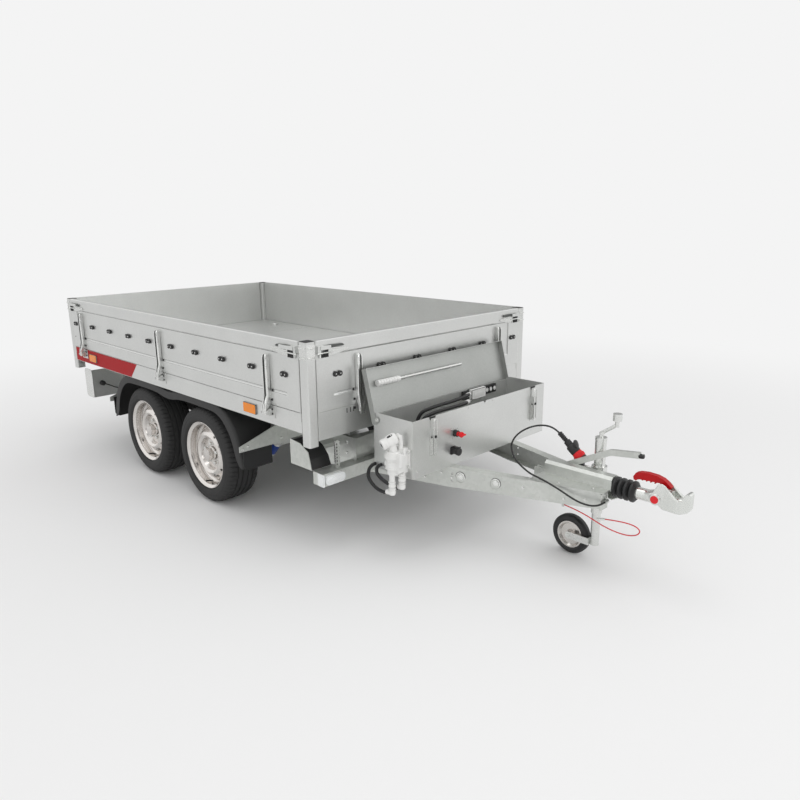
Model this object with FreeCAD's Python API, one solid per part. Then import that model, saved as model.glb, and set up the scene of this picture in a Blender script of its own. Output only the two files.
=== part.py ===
import FreeCAD, Part
import math
import os

V = FreeCAD.Vector

# Tandem-axle tipping trailer. Millimetres. While modelling, x = 0 is the front face
# of the bed, +X points forward to the coupling, y = 0 is the centre line and z = 0
# the ground. Every shape is moved along X at the end so that the origin lies on the
# ground under the middle of the whole trailer.

# Overall
SHEET = 3.0
RUN_GAP = 0.3
SIDE_GAP = 5.0

# Wheels and axles
TYRE_R = 262.5
TYRE_W = 195.0
BEAD_GAP = 0.3
RIM_R = 165.0
RIM_FLANGE_R = 182.5
RIM_W = 172.0
RIM_WALL = 4.0
WHEEL_Y = 670.0
WHEEL_OFFSET = 30.0
FRONT_AXLE_X = -954.0
AXLE_SPACING = 659.0
REAR_AXLE_X = FRONT_AXLE_X - AXLE_SPACING
WHEEL_BOLTS = 5
BOLT_PCD_R = 56.0
DRUM_R = 108.0
DRUM_W = 52.0
SPINDLE_R = 20.0
AXLE_TUBE = 70.0
ARM_LEAD = 130.0
ARM_RISE = 37.0
ARM_W = 34.0

# Chassis
RAIL_Y = 500.0
AXLE_TUBE_END = RAIL_Y - 10
DAMPER_Y = RAIL_Y - 28
RAIL_W = 60.0
RAIL_BOTTOM = 390.0
RAIL_H = 110.0
RAIL_TOP = RAIL_BOTTOM + RAIL_H
RAIL_FRONT = -20.0
RAIL_REAR = -2525.0
RAIL_T = 4.0
CROSS_W = 40.0
CROSS_XS = [-35.0, -700.0, -1560.0, -2395.0]
PAD_H = 7.7
PAD_FRONT = -160.0
PAD_L = 100.0
RUNNER_CLEAR = 1.5

# Drawbar
TIP_X = 1005.0
TIP_Y = 85.0
DRAWBAR_ANGLE = 15.0
DRAWBAR_LENGTH = 1560.0
DRAWBAR_TIP_H = 68.0
DRAWBAR_H = 97.0
DRAWBAR_TAPER = 690.0
DRAWBAR_FLANGE = 45.0
DRAWBAR_T = 4.0
EMBOSS_R = 24.0
EMBOSS_AT = [459.0, 625.0]
ROPE_EYE_X = TIP_X - 159
ROPE_EYE_Y = TIP_Y + 19

# Bed
BED_L = 2558.0
BED_W = 1560.0
RUNNER_H = 72.0
RUNNER_BOTTOM = RAIL_TOP + PAD_H + RUN_GAP
BAND_H = 90.0
BAND_BOTTOM = RUNNER_BOTTOM + RUNNER_H
BAND_TOP = BAND_BOTTOM + BAND_H
FRONT_BAND_DROP = 35.0
FRONT_BAND_BOTTOM = BAND_BOTTOM - FRONT_BAND_DROP
BAND_INSET = 2.0
BAND_FLANGE = 40.0
FLOOR_T = 15.0
FLOOR_SEAT = 1.0
FLOOR_TOP = BAND_TOP + FLOOR_SEAT + FLOOR_T
FLOOR_CLEAR = 5.0
BOARD_T = 25.0
BOARD_H = 315.0
BOARD_LIFT = 2.0
BOARD_BOTTOM = BAND_TOP + BOARD_LIFT
BOARD_TOP = BOARD_BOTTOM + BOARD_H
BOARD_RAIL_H = 64.0
BOARD_FOOT_H = 65.0
BOARD_RIDGE_Z = BOARD_BOTTOM + BOARD_FOOT_H
BOARD_RECESS = 4.0
BOARD_CLEAR = 6.0
BOARD_END_W = 88.0
POST = 52.0
POST_DROP = 58.0
POST_BOTTOM = BAND_BOTTOM - POST_DROP
POST_TOP = BOARD_TOP - 2
POST_GAP = 4.0
CROSSBEAM_COUNT = 8
CROSSBEAM_FIRST = -160.0
CROSSBEAM_LAST = 228.0 - BED_L
CROSSBEAM_PITCH = (CROSSBEAM_FIRST - CROSSBEAM_LAST) / (CROSSBEAM_COUNT - 1)
STRAP_W = 28.0
STRAP_T = 12.0
STRAP_DROP = 84.0
STRAP_TOP = BOARD_TOP - STRAP_DROP
STRAP_XS = [-287.0, -1305.0, -2350.0]
FRONT_STRAP_YS = [-493.0, 535.0]
HINGE_OUT = 21.0
HINGE_Z = BAND_TOP - 30
HINGE_PIN_R = 5.0
KNUCKLE_R = 9.5
LATCH_DROP = 53.0
LATCH_BASE = 34.0
LATCH_L = 98.0
REFLECTOR_L = 98.0
REFLECTOR_H = 44.0
REFLECTOR_XS = [-446.0, -2229.0]

# Tipping
PIVOT_X = -2490.0
PIVOT_Z = RUNNER_BOTTOM + 32
PIVOT_PIN_R = 12.0
TILT = 45.0
CYL_BASE_X = -1330.0
CYL_BASE_Z = RAIL_BOTTOM - 60
CYL_EYE_X = -900.0
CYL_EYE_Z = BAND_BOTTOM - 34
CYL_EYE_R = 22.0
CYL_PIN_R = 12.0
STAGES = 3
BARREL_R = 50.0
STAGE_STEP = 8.0
BARREL_WALL = 8.0
TAILGATE_PIN_R = 8.0
TAILGATE_PIN_Z = BOARD_TOP - 27

# Tool box
BOX_BACK = 100.0
BOX_DEPTH = 240.0
BOX_FRONT = BOX_BACK + BOX_DEPTH
BOX_HALF = 494.0
BOX_H = 259.0
BOX_TOP = RAIL_BOTTOM + BOX_H
BOX_REAR_TOP = BOX_TOP - 13
BOX_T = 2.5
LID_CORNER_R = 32.0
LID_PIVOT_X = BOX_BACK + 24
LID_PIVOT_Z = BOX_TOP - LID_CORNER_R
LID_OPEN = 105.0
LID_BACK = 20.0
LID_REACH = 232.0
LID_RISE = 33.0
LID_T = 2.5
LID_FLANGE = 30.0
LID_GAP = 1.5
LID_BOLT_R = 5.0

# Hand pump
PUMP_X = 270.0
PUMP_Z = 415.0
PUMP_OUT = 46.0
PUMP_R = 40.0

# Mudguards
MUDGUARD_OUT = 770.0
MUDGUARD_W = 244.0
MUDGUARD_IN = MUDGUARD_OUT - MUDGUARD_W
MUDGUARD_TOP = BAND_BOTTOM - 17
MUDGUARD_T = 4.0
MUDGUARD_END = 398.0
MUDGUARD_END_Z = 285.0
MUDGUARD_CORNER = 264.0
MUDGUARD_VALLEY_Z = MUDGUARD_TOP - 83

# Coupling, brake lever and jockey wheel
SHAFT_Z = RAIL_BOTTOM + 14
SHAFT_R = 25.0
NOSE_X = 1342.0
BALL_X = NOSE_X - 42
BALL_Z = SHAFT_Z - 4
BALL_R = 25.2
CUP_WALL = 5.8
HEAD_HALF = 30.0
HEAD_TAIL = 172.0
HEAD_WALL = 7.0
HEAD_PIN_R = 13.0
GRIP_W = 24.0
HOUSING_BACK = TIP_X - 305
HOUSING_FRONT = TIP_X + 16
HOUSING_HALF = 30.0
BELLOWS_L = 100.0
BELLOWS_END = HOUSING_FRONT + BELLOWS_L
BELLOWS_R = 44.0
BELLOWS_PLEATS = 4
LEVER_Y = 41.0
LEVER_W = 16.0
JOCKEY_X = TIP_X - 100
JOCKEY_Y = 78.0
JOCKEY_TUBE_R = 24.0
JOCKEY_TUBE_BOTTOM = 229.0
JOCKEY_TUBE_TOP = 562.0
JOCKEY_INNER_R = 19.0
JOCKEY_WHEEL_R = 92.0
JOCKEY_WHEEL_W = 44.0
JOCKEY_TRAIL = 116.0

pieces = {}


def add(name, *solids):
    shape = solids[0] if len(solids) == 1 else Part.makeCompound(list(solids))
    pieces[name] = shape


def box(x0, x1, y0, y1, z0, z1):
    return Part.makeBox(x1 - x0, y1 - y0, z1 - z0, V(x0, y0, z0))


def rod(start, end, radius):
    a, b = V(*start), V(*end)
    return Part.makeCylinder(radius, (b - a).Length, a, b - a)


def pipe(start, end, outer, inner):
    return rod(start, end, outer).cut(rod(start, end, inner))


def fuse(*shapes):
    joined = shapes[0]
    for shape in shapes[1:]:
        joined = joined.fuse(shape)
    return joined.removeSplitter()


def flip(shape):
    return shape.mirror(V(0, 0, 0), V(0, 1, 0))


def both_sides(shape):
    return [shape, flip(shape)]


def plate_y(points, y0, y1):
    """A plate with an outline of (x, z) points, from y0 to y1."""
    corners = [V(x, y0, z) for x, z in points]
    face = Part.Face(Part.makePolygon(corners + corners[:1]))
    return face.extrude(V(0, y1 - y0, 0))


def plate_x(points, x0, x1):
    """A plate with an outline of (y, z) points, from x0 to x1."""
    corners = [V(x0, y, z) for y, z in points]
    face = Part.Face(Part.makePolygon(corners + corners[:1]))
    return face.extrude(V(x1 - x0, 0, 0))


def plate_z(points, z0, z1):
    """A plate with an outline of (x, y) points, from z0 to z1."""
    corners = [V(x, y, z0) for x, y in points]
    face = Part.Face(Part.makePolygon(corners + corners[:1]))
    return face.extrude(V(0, 0, z1 - z0))


def rounded(shape, radius, direction):
    """Round the edges of a shape that run along one direction."""
    along = V(*direction)
    edges = []
    for edge in shape.Edges:
        if isinstance(edge.Curve, Part.Line):
            if abs(abs(edge.tangentAt(edge.FirstParameter).dot(along)) - 1) < 1e-6:
                edges.append(edge)
    return shape.makeFillet(radius, edges)


def turned_y(profile, x, z):
    """Turn an outline of (y, radius) points about a cross axis at x, z."""
    corners = [V(x, y, z + r) for y, r in profile]
    face = Part.Face(Part.makePolygon(corners + corners[:1]))
    return face.revolve(V(x, 0, z), V(0, 1, 0), 360)


def turned_x(profile, y, z):
    """Turn an outline of (x, radius) points about a lengthwise axis at y, z."""
    corners = [V(x, y, z + r) for x, r in profile]
    face = Part.Face(Part.makePolygon(corners + corners[:1]))
    return face.revolve(V(0, y, z), V(1, 0, 0), 360)


def ribbon(points, radii, thickness, y0, y1):
    """Bent sheet: a path of (x, z) points with rounded corners, thickened to its left."""
    path = [V(x, 0, z) for x, z in points]
    sides = []
    for offset in (0.0, thickness):
        edges = []
        first = (path[1] - path[0]).normalize()
        here = path[0] + V(-first.z, 0, first.x) * offset
        for i, radius in enumerate(radii, start=1):
            before = (path[i] - path[i - 1]).normalize()
            after = (path[i + 1] - path[i]).normalize()
            turn = math.atan2(before.x * after.z - before.z * after.x, before.dot(after))
            inset = radius * math.tan(abs(turn) / 2)
            left_in = V(-before.z, 0, before.x)
            left_out = V(-after.z, 0, after.x)
            start = path[i] - before * inset + left_in * offset
            end = path[i] + after * inset + left_out * offset
            side = 1 if turn > 0 else -1
            centre = path[i] - before * inset + left_in * radius * side
            middle = centre - (left_in + left_out).normalize() * side * (radius - side * offset)
            edges.append(Part.LineSegment(here, start).toShape())
            edges.append(Part.Arc(start, middle, end).toShape())
            here = end
        last = (path[-1] - path[-2]).normalize()
        end = path[-1] + V(-last.z, 0, last.x) * offset
        edges.append(Part.LineSegment(here, end).toShape())
        sides.append(edges)
    near, far = sides
    caps = [Part.LineSegment(a.Vertexes[k].Point, b.Vertexes[k].Point).toShape()
            for a, b, k in ((near[0], far[0], 0), (near[-1], far[-1], 1))]
    outline = Part.Wire(Part.__sortEdges__(near + far + caps))
    face = Part.Face(outline)
    face.translate(V(0, y0, 0))
    return face.extrude(V(0, y1 - y0, 0))


def cord(points, radius, label):
    """A round cord along straight runs joined by the largest tangent arcs they allow."""
    path = [V(*p) for p in points]
    edges = []
    radii = []
    here = path[0]
    for i in range(1, len(path) - 1):
        before = path[i] - path[i - 1]
        after = path[i + 1] - path[i]
        short = min(before.Length, after.Length)
        half_turn = before.getAngle(after) / 2
        inset = 0.45 * short
        bend = inset / math.tan(half_turn)
        radii.append(bend)
        a, b = V(before).normalize(), V(after).normalize()
        start, end = path[i] - a * inset, path[i] + b * inset
        inward = (b - a).normalize()
        centre = path[i] + inward * math.hypot(inset, bend)
        middle = centre - inward * bend
        edges.append(Part.LineSegment(here, start).toShape())
        edges.append(Part.Arc(start, middle, end).toShape())
        here = end
    edges.append(Part.LineSegment(here, path[-1]).toShape())
    wire = Part.Wire(edges)
    disc = Part.Wire(Part.makeCircle(radius, path[0], path[1] - path[0]))
    tube = wire.makePipeShell([disc], True, False)
    share = tube.Volume / (math.pi * radius ** 2 * wire.Length)
    print(label, "radii", [round(r) for r in radii], "length", round(wire.Length),
          "volume share", round(share, 4))
    return tube


# Running gear
def tyre(wheel_x, side):
    """Tyre with square shoulders and a slightly rounded tread, one face at a time."""
    half = TYRE_W / 2
    rim_half = RIM_W / 2
    outline = [
        (-rim_half + 12 + BEAD_GAP, RIM_R + 4 + BEAD_GAP), (-rim_half + 4 - BEAD_GAP, RIM_FLANGE_R + 1),
        (-half + 8, RIM_FLANGE_R + 6), (-half, RIM_R + 52),
        (-half + 6, TYRE_R - 22), (-half + 20, TYRE_R - 6), (-half + 40, TYRE_R - 0.5),
        (0, TYRE_R),
        (half - 40, TYRE_R - 0.5), (half - 20, TYRE_R - 6), (half - 6, TYRE_R - 22),
        (half, RIM_R + 52), (half - 8, RIM_FLANGE_R + 6), (rim_half - 4 + BEAD_GAP, RIM_FLANGE_R + 1),
        (rim_half - 12 - BEAD_GAP, RIM_R + 4 + BEAD_GAP), (rim_half - 24, RIM_R + 3 + BEAD_GAP),
        (half - 26, RIM_R + 34), (half - 18, TYRE_R - 34), (0, TYRE_R - 16),
        (-half + 18, TYRE_R - 34), (-half + 26, RIM_R + 34), (-rim_half + 24, RIM_R + 3 + BEAD_GAP),
    ]
    return turned_y([(side * WHEEL_Y + y, r) for y, r in outline], wheel_x, TYRE_R)


def rim(wheel_x, side):
    """Pressed steel wheel: barrel, domed disc with slots, brake drum and bolts."""
    half = RIM_W / 2
    barrel = [
        (-half, RIM_FLANGE_R - 3), (-half + 4, RIM_FLANGE_R), (-half + 12, RIM_R + 4),
        (-half + 34, RIM_R), (-half + 44, RIM_R - 16), (half - 66, RIM_R - 16),
        (half - 50, RIM_R), (half - 12, RIM_R + 4), (half - 4, RIM_FLANGE_R),
        (half, RIM_FLANGE_R - 3), (half - 8, RIM_R + 2),
        (half - 10, RIM_R + 4 - RIM_WALL), (half - 50, RIM_R - RIM_WALL),
        (half - 66, RIM_R - 16 - RIM_WALL), (-half + 44, RIM_R - 16 - RIM_WALL),
        (-half + 34, RIM_R - RIM_WALL), (-half + 10, RIM_R + 4 - RIM_WALL),
        (-half + 8, RIM_R + 2),
    ]
    face = WHEEL_OFFSET
    disc = [
        (face + 2, RIM_R - 16 - RIM_WALL), (face + 12, 138), (face + 28, 122),
        (face + 34, 104), (face + 26, 90), (face + 5, 80), (face + 5, 33),
        (face, 33), (face, 84), (face + 20, 94), (face + 28, 104), (face + 22, 119),
        (face + 6, 134), (face - 12, RIM_R - 16 - RIM_WALL),
    ]
    centre_y = side * WHEEL_Y
    shapes = [turned_y([(centre_y + side * y, r) for y, r in outline], wheel_x, TYRE_R)
              for outline in (barrel, disc)]
    wheel = shapes[0].fuse(shapes[1])
    slot_r = 127.0
    for k in range(8):
        pair = (k // 2) * 90.0 + (14.0 if k % 2 else -14.0) + 45.0
        angle = math.radians(pair)
        x = wheel_x + slot_r * math.cos(angle)
        z = TYRE_R + slot_r * math.sin(angle)
        slot = Part.makeCylinder(8.0, 60, V(x, centre_y + side * face - 30, z), V(0, 1, 0))
        wheel = wheel.cut(slot)
    inner = centre_y + side * (face - DRUM_W - 36)
    seat = centre_y + side * face
    nose = centre_y + side * (face + 46)
    hub = [
        (inner, DRUM_R - 6), (inner + side * 4, DRUM_R), (inner + side * DRUM_W, DRUM_R),
        (inner + side * (DRUM_W + 8), DRUM_R - 12), (seat, 70), (seat, 32),
        (nose - side * 6, 32), (nose, 26), (nose, 0),
        (nose - side * 12, 0), (nose - side * 12, SPINDLE_R + RUN_GAP),
        (inner + side * 30, SPINDLE_R + RUN_GAP), (inner + side * 30, DRUM_R - 8),
        (inner, DRUM_R - 8),
    ]
    wheel = wheel.fuse(turned_y(hub, wheel_x, TYRE_R))
    for k in range(WHEEL_BOLTS):
        angle = math.radians(90 + 360.0 * k / WHEEL_BOLTS)
        x = wheel_x + BOLT_PCD_R * math.cos(angle)
        z = TYRE_R + BOLT_PCD_R * math.sin(angle)
        wheel = wheel.fuse(rod((x, seat, z), (x, seat + side * 17, z), 9.0))
    return wheel.removeSplitter()


def axle(wheel_x):
    """Rubber torsion axle: square tube, seats under the rails, arms and spindles."""
    tube_x = wheel_x + ARM_LEAD
    tube_z = TYRE_R + ARM_RISE
    half = AXLE_TUBE / 2
    parts = [box(tube_x - half, tube_x + half, -AXLE_TUBE_END, AXLE_TUBE_END,
                 tube_z - half, tube_z + half)]
    seat = plate_y([(tube_x - 75, RAIL_BOTTOM), (tube_x + 75, RAIL_BOTTOM),
                    (tube_x + half, tube_z + half - 8), (tube_x - half, tube_z + half - 8)],
                   -RAIL_Y + 5, -RAIL_Y + RAIL_W)
    parts += both_sides(seat)
    lug = plate_y([(tube_x - 20, tube_z - half + 4), (tube_x + 46, TYRE_R - 38), (tube_x + 76, TYRE_R - 32),
                   (tube_x + 76, TYRE_R - 12), (tube_x + half - 2, tube_z - half + 10)],
                  -DAMPER_Y + 14, -DAMPER_Y + 20)
    parts += both_sides(lug)
    arm_out = AXLE_TUBE_END + ARM_W
    hull = [rod((tube_x, -AXLE_TUBE_END, tube_z), (tube_x, -arm_out, tube_z), half),
            rod((wheel_x, -AXLE_TUBE_END, TYRE_R), (wheel_x, -arm_out, TYRE_R), 30)]
    slope = math.atan2(ARM_RISE, ARM_LEAD)
    rise, lean = math.cos(slope), math.sin(slope)
    bar = plate_y([(tube_x - 30 * lean, tube_z + 30 * rise), (wheel_x - 24 * lean, TYRE_R + 24 * rise),
                   (wheel_x + 24 * lean, TYRE_R - 24 * rise), (tube_x + 30 * lean, tube_z - 30 * rise)],
                  -arm_out, -AXLE_TUBE_END)
    seat_y = WHEEL_Y + WHEEL_OFFSET
    drum_in = WHEEL_Y + WHEEL_OFFSET - DRUM_W - 36
    back_plate = rod((wheel_x, -arm_out, TYRE_R), (wheel_x, -drum_in + 3, TYRE_R), 45)
    disc = rod((wheel_x, -drum_in + 10, TYRE_R), (wheel_x, -drum_in + 3, TYRE_R), DRUM_R + 4)
    spindle = rod((wheel_x, -arm_out, TYRE_R), (wheel_x, -seat_y - 30, TYRE_R), SPINDLE_R)
    arm = fuse(hull[0], hull[1], bar, back_plate, disc, spindle)
    parts += both_sides(arm)
    return fuse(*parts)


for end, wheel_x in (("front", FRONT_AXLE_X), ("rear", REAR_AXLE_X)):
    add("axle_" + end, axle(wheel_x))
    for side_name, side in (("right", -1), ("left", 1)):
        add("rim_%s_%s" % (end, side_name), rim(wheel_x, side))
        add("tyre_%s_%s" % (end, side_name), tyre(wheel_x, side))


def shock_absorber(wheel_x):
    """Damper from the lug below the axle tube up to a block under the rail."""
    y = -DAMPER_Y
    tube_x = wheel_x + ARM_LEAD
    low = (tube_x + 60, y, TYRE_R - 26)
    high = (tube_x + 180, y, RAIL_BOTTOM - 22)
    run = (V(*high) - V(*low)).normalize()
    sleeve_end = V(*low) + run * 96
    return fuse(rod(low, high, 9), rod(tuple(V(*low) + run * 40), tuple(sleeve_end), 21),
                rod((low[0], y - 12, low[2]), (low[0], y + 12, low[2]), 14),
                rod((low[0], y + 12, low[2]), (low[0], y + 14, low[2]), 7),
                box(high[0] - 18, high[0] + 18, y - 14, y + 14, high[2] - 8, RAIL_BOTTOM))


add("shock_absorbers", *(both_sides(shock_absorber(FRONT_AXLE_X)) + both_sides(shock_absorber(REAR_AXLE_X))))


# Chassis rails, cross members and the pivot ears of the bed
def channel_x(x0, x1, web_y, flange, z0, z1, t):
    """Channel along X with its web at web_y and its flanges towards the centre."""
    inward = -1 if web_y > 0 else 1
    web = sorted((web_y, web_y + inward * t))
    reach = sorted((web_y, web_y + inward * flange))
    return fuse(box(x0, x1, web[0], web[1], z0, z1),
                box(x0, x1, reach[0], reach[1], z0, z0 + t),
                box(x0, x1, reach[0], reach[1], z1 - t, z1))


def channel_y(x0, x1, half, z0, z1, t):
    """Channel across the trailer, open to the rear."""
    return fuse(box(x1 - t, x1, -half, half, z0, z1),
                box(x0, x1, -half, half, z0, z0 + t),
                box(x0, x1, -half, half, z1 - t, z1))


rail = channel_x(RAIL_REAR, RAIL_FRONT, -RAIL_Y, RAIL_W, RAIL_BOTTOM, RAIL_TOP, RAIL_T)
ear = fuse(box(PIVOT_X - 30, PIVOT_X + 40, -RAIL_Y - 8, -RAIL_Y, RAIL_BOTTOM + 20, PIVOT_Z),
           rod((PIVOT_X, -RAIL_Y - 8, PIVOT_Z), (PIVOT_X, -RAIL_Y, PIVOT_Z), 26))
inner_ear = fuse(box(PIVOT_X - 30, PIVOT_X + 40, -RAIL_Y + RAIL_W + 2, -RAIL_Y + RAIL_W + 8,
                     RAIL_TOP - 20, PIVOT_Z),
                 box(PIVOT_X - 30, PIVOT_X + 40, -RAIL_Y + RAIL_W, -RAIL_Y + RAIL_W + 8,
                     RAIL_TOP - 20, RAIL_TOP),
                 rod((PIVOT_X, -RAIL_Y + RAIL_W + 2, PIVOT_Z),
                     (PIVOT_X, -RAIL_Y + RAIL_W + 8, PIVOT_Z), 26))
pivot_pin = rod((PIVOT_X, -RAIL_Y - 12, PIVOT_Z), (PIVOT_X, -RAIL_Y + RAIL_W + 12, PIVOT_Z),
                PIVOT_PIN_R)
pad = box(PAD_FRONT - PAD_L, PAD_FRONT, -RAIL_Y + 4, -RAIL_Y + RAIL_W - 4, RAIL_TOP, RAIL_TOP + PAD_H)
rail = fuse(rail, ear, inner_ear, pivot_pin, pad)
add("chassis_rail_right", rail)
add("chassis_rail_left", flip(rail))

inner = RAIL_Y - RAIL_T
crosses = []
for x in CROSS_XS:
    crosses.append(channel_y(x - CROSS_W, x, inner, RAIL_BOTTOM + RAIL_T, RAIL_TOP - RAIL_T, SHEET))
bridge_low = CYL_BASE_Z - 84
bridge = [box(CYL_BASE_X - 34, CYL_BASE_X + 34, -RAIL_Y + RAIL_W, RAIL_Y - RAIL_W,
              bridge_low, bridge_low + 40)]
bridge += both_sides(box(CYL_BASE_X - 50, CYL_BASE_X + 50, -RAIL_Y + RAIL_W - 6, -RAIL_Y + RAIL_W,
                         bridge_low, RAIL_BOTTOM))
trunnion = fuse(box(CYL_BASE_X - 26, CYL_BASE_X + 26, -32, -24, bridge_low + 40, CYL_BASE_Z),
                rod((CYL_BASE_X, -32, CYL_BASE_Z), (CYL_BASE_X, -24, CYL_BASE_Z), 26))
bridge += both_sides(trunnion)
bridge.append(rod((CYL_BASE_X, -36, CYL_BASE_Z), (CYL_BASE_X, 36, CYL_BASE_Z), 12))
add("cross_members", fuse(*bridge), *crosses)


# Drawbar beams
def drawbar_beam():
    """Tapered channel, modelled straight along X and then swung out to its angle."""
    top = RAIL_BOTTOM
    low = [(0, top - DRAWBAR_TIP_H), (DRAWBAR_TAPER, top - DRAWBAR_H), (DRAWBAR_LENGTH, top - DRAWBAR_H)]
    t = DRAWBAR_T
    web = [(TIP_X, top)] + [(TIP_X - s, z) for s, z in low] + [(TIP_X - DRAWBAR_LENGTH, top)]
    bottom = [(TIP_X - s, z) for s, z in low] + [(TIP_X - s, z + t) for s, z in reversed(low)]
    outer = -TIP_Y
    beam = fuse(plate_y(web, outer, outer + t),
                box(TIP_X - DRAWBAR_LENGTH, TIP_X, outer, outer + DRAWBAR_FLANGE, top - t, top),
                plate_y(bottom, outer, outer + DRAWBAR_FLANGE))
    for s in EMBOSS_AT:
        x = TIP_X - s
        beam = beam.fuse(Part.makeCone(EMBOSS_R, EMBOSS_R - 5, 4, V(x, outer, top - 43), V(0, -1, 0)))
    for s, z in ((668.0, top - 32), (668.0, top - 66), (805.0, top - 69)):
        beam = beam.cut(rod((TIP_X - s, outer - 1, z), (TIP_X - s, outer + t + 1, z), 4.5))
    beam.rotate(V(TIP_X, outer, 0), V(0, 0, 1), DRAWBAR_ANGLE)
    return beam


beam = drawbar_beam()
notch = rod((JOCKEY_X, JOCKEY_Y, 300), (JOCKEY_X, JOCKEY_Y, 420), JOCKEY_TUBE_R + 3)
eye = rod((ROPE_EYE_X, -ROPE_EYE_Y, RAIL_BOTTOM - 94), (ROPE_EYE_X, -ROPE_EYE_Y, RAIL_BOTTOM - 72), 5)
add("drawbar_beam_right", beam.fuse(eye))
add("drawbar_beam_left", flip(beam).cut(notch))


# Overrun housing, shaft, bellows and coupling head
def overrun_housing():
    """Folded cover over the shaft with side wings that sit on the drawbar beams."""
    top = RAIL_BOTTOM
    spread = math.tan(math.radians(DRAWBAR_ANGLE))

    def half_at(x):
        return TIP_Y + (TIP_X - x) * spread

    back, front = HOUSING_BACK, HOUSING_FRONT - 5
    wing = plate_z([(front, -half_at(front)), (front, half_at(front)),
                    (back, half_at(back)), (back, -half_at(back))], top, top + 4)
    cover = [(-HOUSING_HALF - 2, top + 4), (HOUSING_HALF + 2, top + 4),
             (HOUSING_HALF, top + 20), (HOUSING_HALF, top + 46), (HOUSING_HALF - 12, top + 58),
             (-HOUSING_HALF + 12, top + 58), (-HOUSING_HALF, top + 46), (-HOUSING_HALF, top + 20)]
    hood = plate_x(cover, back, HOUSING_FRONT)
    deep = half_at(back) - DRAWBAR_T - 1
    shallow = deep - DRAWBAR_FLANGE
    under = top - DRAWBAR_T - RUN_GAP
    guide = plate_x([(-deep, top - 66), (deep, top - 66), (deep, under), (shallow, under), (shallow, top + 4),
                     (-shallow, top + 4), (-shallow, under), (-deep, under)], back - 6, back)
    near, far = LEVER_Y - LEVER_W / 2, LEVER_Y + LEVER_W / 2
    lugs = [box(back - 90, back - 6, y0, y0 + 5, top - 66, top - 8) for y0 in (near - 6, far + 1)]
    bolt = rod((back - 66, near - 8, top - 34), (back - 66, far + 8, top - 34), 6)
    shell = fuse(wing, hood, guide, bolt, *lugs)
    slot = box(back - 20, back + 130, near - 1.5, far + 1.5, top - 20, top + 80)
    shell = shell.cut(slot)
    shell = shell.cut(rod((back - 7, 0, SHAFT_Z), (HOUSING_FRONT + 1, 0, SHAFT_Z), SHAFT_R + RUN_GAP))
    hole = rod((JOCKEY_X, JOCKEY_Y, top - 10), (JOCKEY_X, JOCKEY_Y, top + 30), JOCKEY_TUBE_R + 0.5)
    return shell.cut(hole).removeSplitter()


def bellows():
    """Pleated rubber boot around the shaft."""
    start = HOUSING_FRONT
    pitch = (BELLOWS_END - start) / BELLOWS_PLEATS
    crest, root = BELLOWS_R, BELLOWS_R - 12
    outline = []
    for k in range(BELLOWS_PLEATS):
        x = start + k * pitch
        outline += [(x, root), (x + pitch * 0.3, crest), (x + pitch * 0.62, crest)]
    outline += [(BELLOWS_END, root), (BELLOWS_END, SHAFT_R + RUN_GAP), (start, SHAFT_R + RUN_GAP)]
    return turned_x(outline, 0, SHAFT_Z)


def coupling_body():
    """Outer form of the cast head: side cheeks with a peak, a cup and an upturned nose."""
    x, z = BALL_X, BALL_Z
    side = [(x - HEAD_TAIL, z - 6), (x - 78, z - 14), (x - 62, z - 27), (x + 8, z - 26), (x + 34, z - 18),
            (NOSE_X, z - 4), (NOSE_X, z + 54), (x + 36, z + 60), (x + 22, z + 56), (x + 12, z + 30),
            (x, z + 27), (x - 14, z + 33), (x - 36, z + 54), (x - 56, z + 72), (x - 70, z + 78),
            (x - 84, z + 72), (x - 108, z + 30), (x - HEAD_TAIL, z + 24)]
    plan = [(x - HEAD_TAIL, HEAD_HALF - 4), (x - HEAD_TAIL + 14, HEAD_HALF), (x - 60, HEAD_HALF),
            (x - 30, HEAD_HALF + 4), (x - 6, HEAD_HALF + 7), (x + 14, HEAD_HALF + 4), (x + 30, HEAD_HALF - 6),
            (NOSE_X, HEAD_HALF - 16)]
    outline = [(a, -b) for a, b in plan] + [(a, b) for a, b in reversed(plan)]
    body = plate_y(side, -2 * HEAD_HALF, 2 * HEAD_HALF).common(plate_z(outline, z - 60, z + 90))
    inner = HEAD_HALF - HEAD_WALL
    pocket = fuse(box(x - 92, x - 30, -inner, inner, z + 40, z + 90),
                  box(x - 40, x + 22, -inner, inner, z + 16, z + 90))
    cup = Part.makeSphere(BALL_R + CUP_WALL, V(x, 0, z))
    return body.cut(pocket).fuse(cup.common(plate_z(outline, z, z + 90)))


def coupling_head():
    """Ball coupling with its socket, its shaft and the cross pin of the handle."""
    x, z = BALL_X, BALL_Z
    socket = rod((x, 0, z - 60), (x, 0, z), BALL_R)
    head = coupling_body().cut(socket).cut(Part.makeSphere(BALL_R, V(x, 0, z)))
    shaft = rod((HOUSING_BACK + 20, 0, SHAFT_Z), (x - 120, 0, SHAFT_Z), SHAFT_R)
    pin_x, pin_z = x - 92, z + 9
    pin = rod((pin_x, -HEAD_HALF - 7, pin_z), (pin_x, HEAD_HALF + 7, pin_z), HEAD_PIN_R)
    return fuse(head, shaft, pin)


def coupling_grip():
    """Moulded handle over the shaft, with a foot between the cheeks of the head."""
    x, z = BALL_X, BALL_Z
    outline = [(x - 184, z + 58), (x - 194, z + 60), (x - 197, z + 72), (x - 187, z + 90), (x - 172, z + 96),
               (x - 140, z + 100), (x - 100, z + 98), (x - 74, z + 91), (x - 56, z + 80), (x - 38, z + 64),
               (x - 42, z + 57), (x - 54, z + 61), (x - 58, z + 40), (x - 78, z + 40), (x - 84, z + 72),
               (x - 120, z + 70), (x - 150, z + 68), (x - 174, z + 66)]
    return rounded(plate_y(outline, -GRIP_W / 2, GRIP_W / 2), 4, (0, 1, 0))


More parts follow.
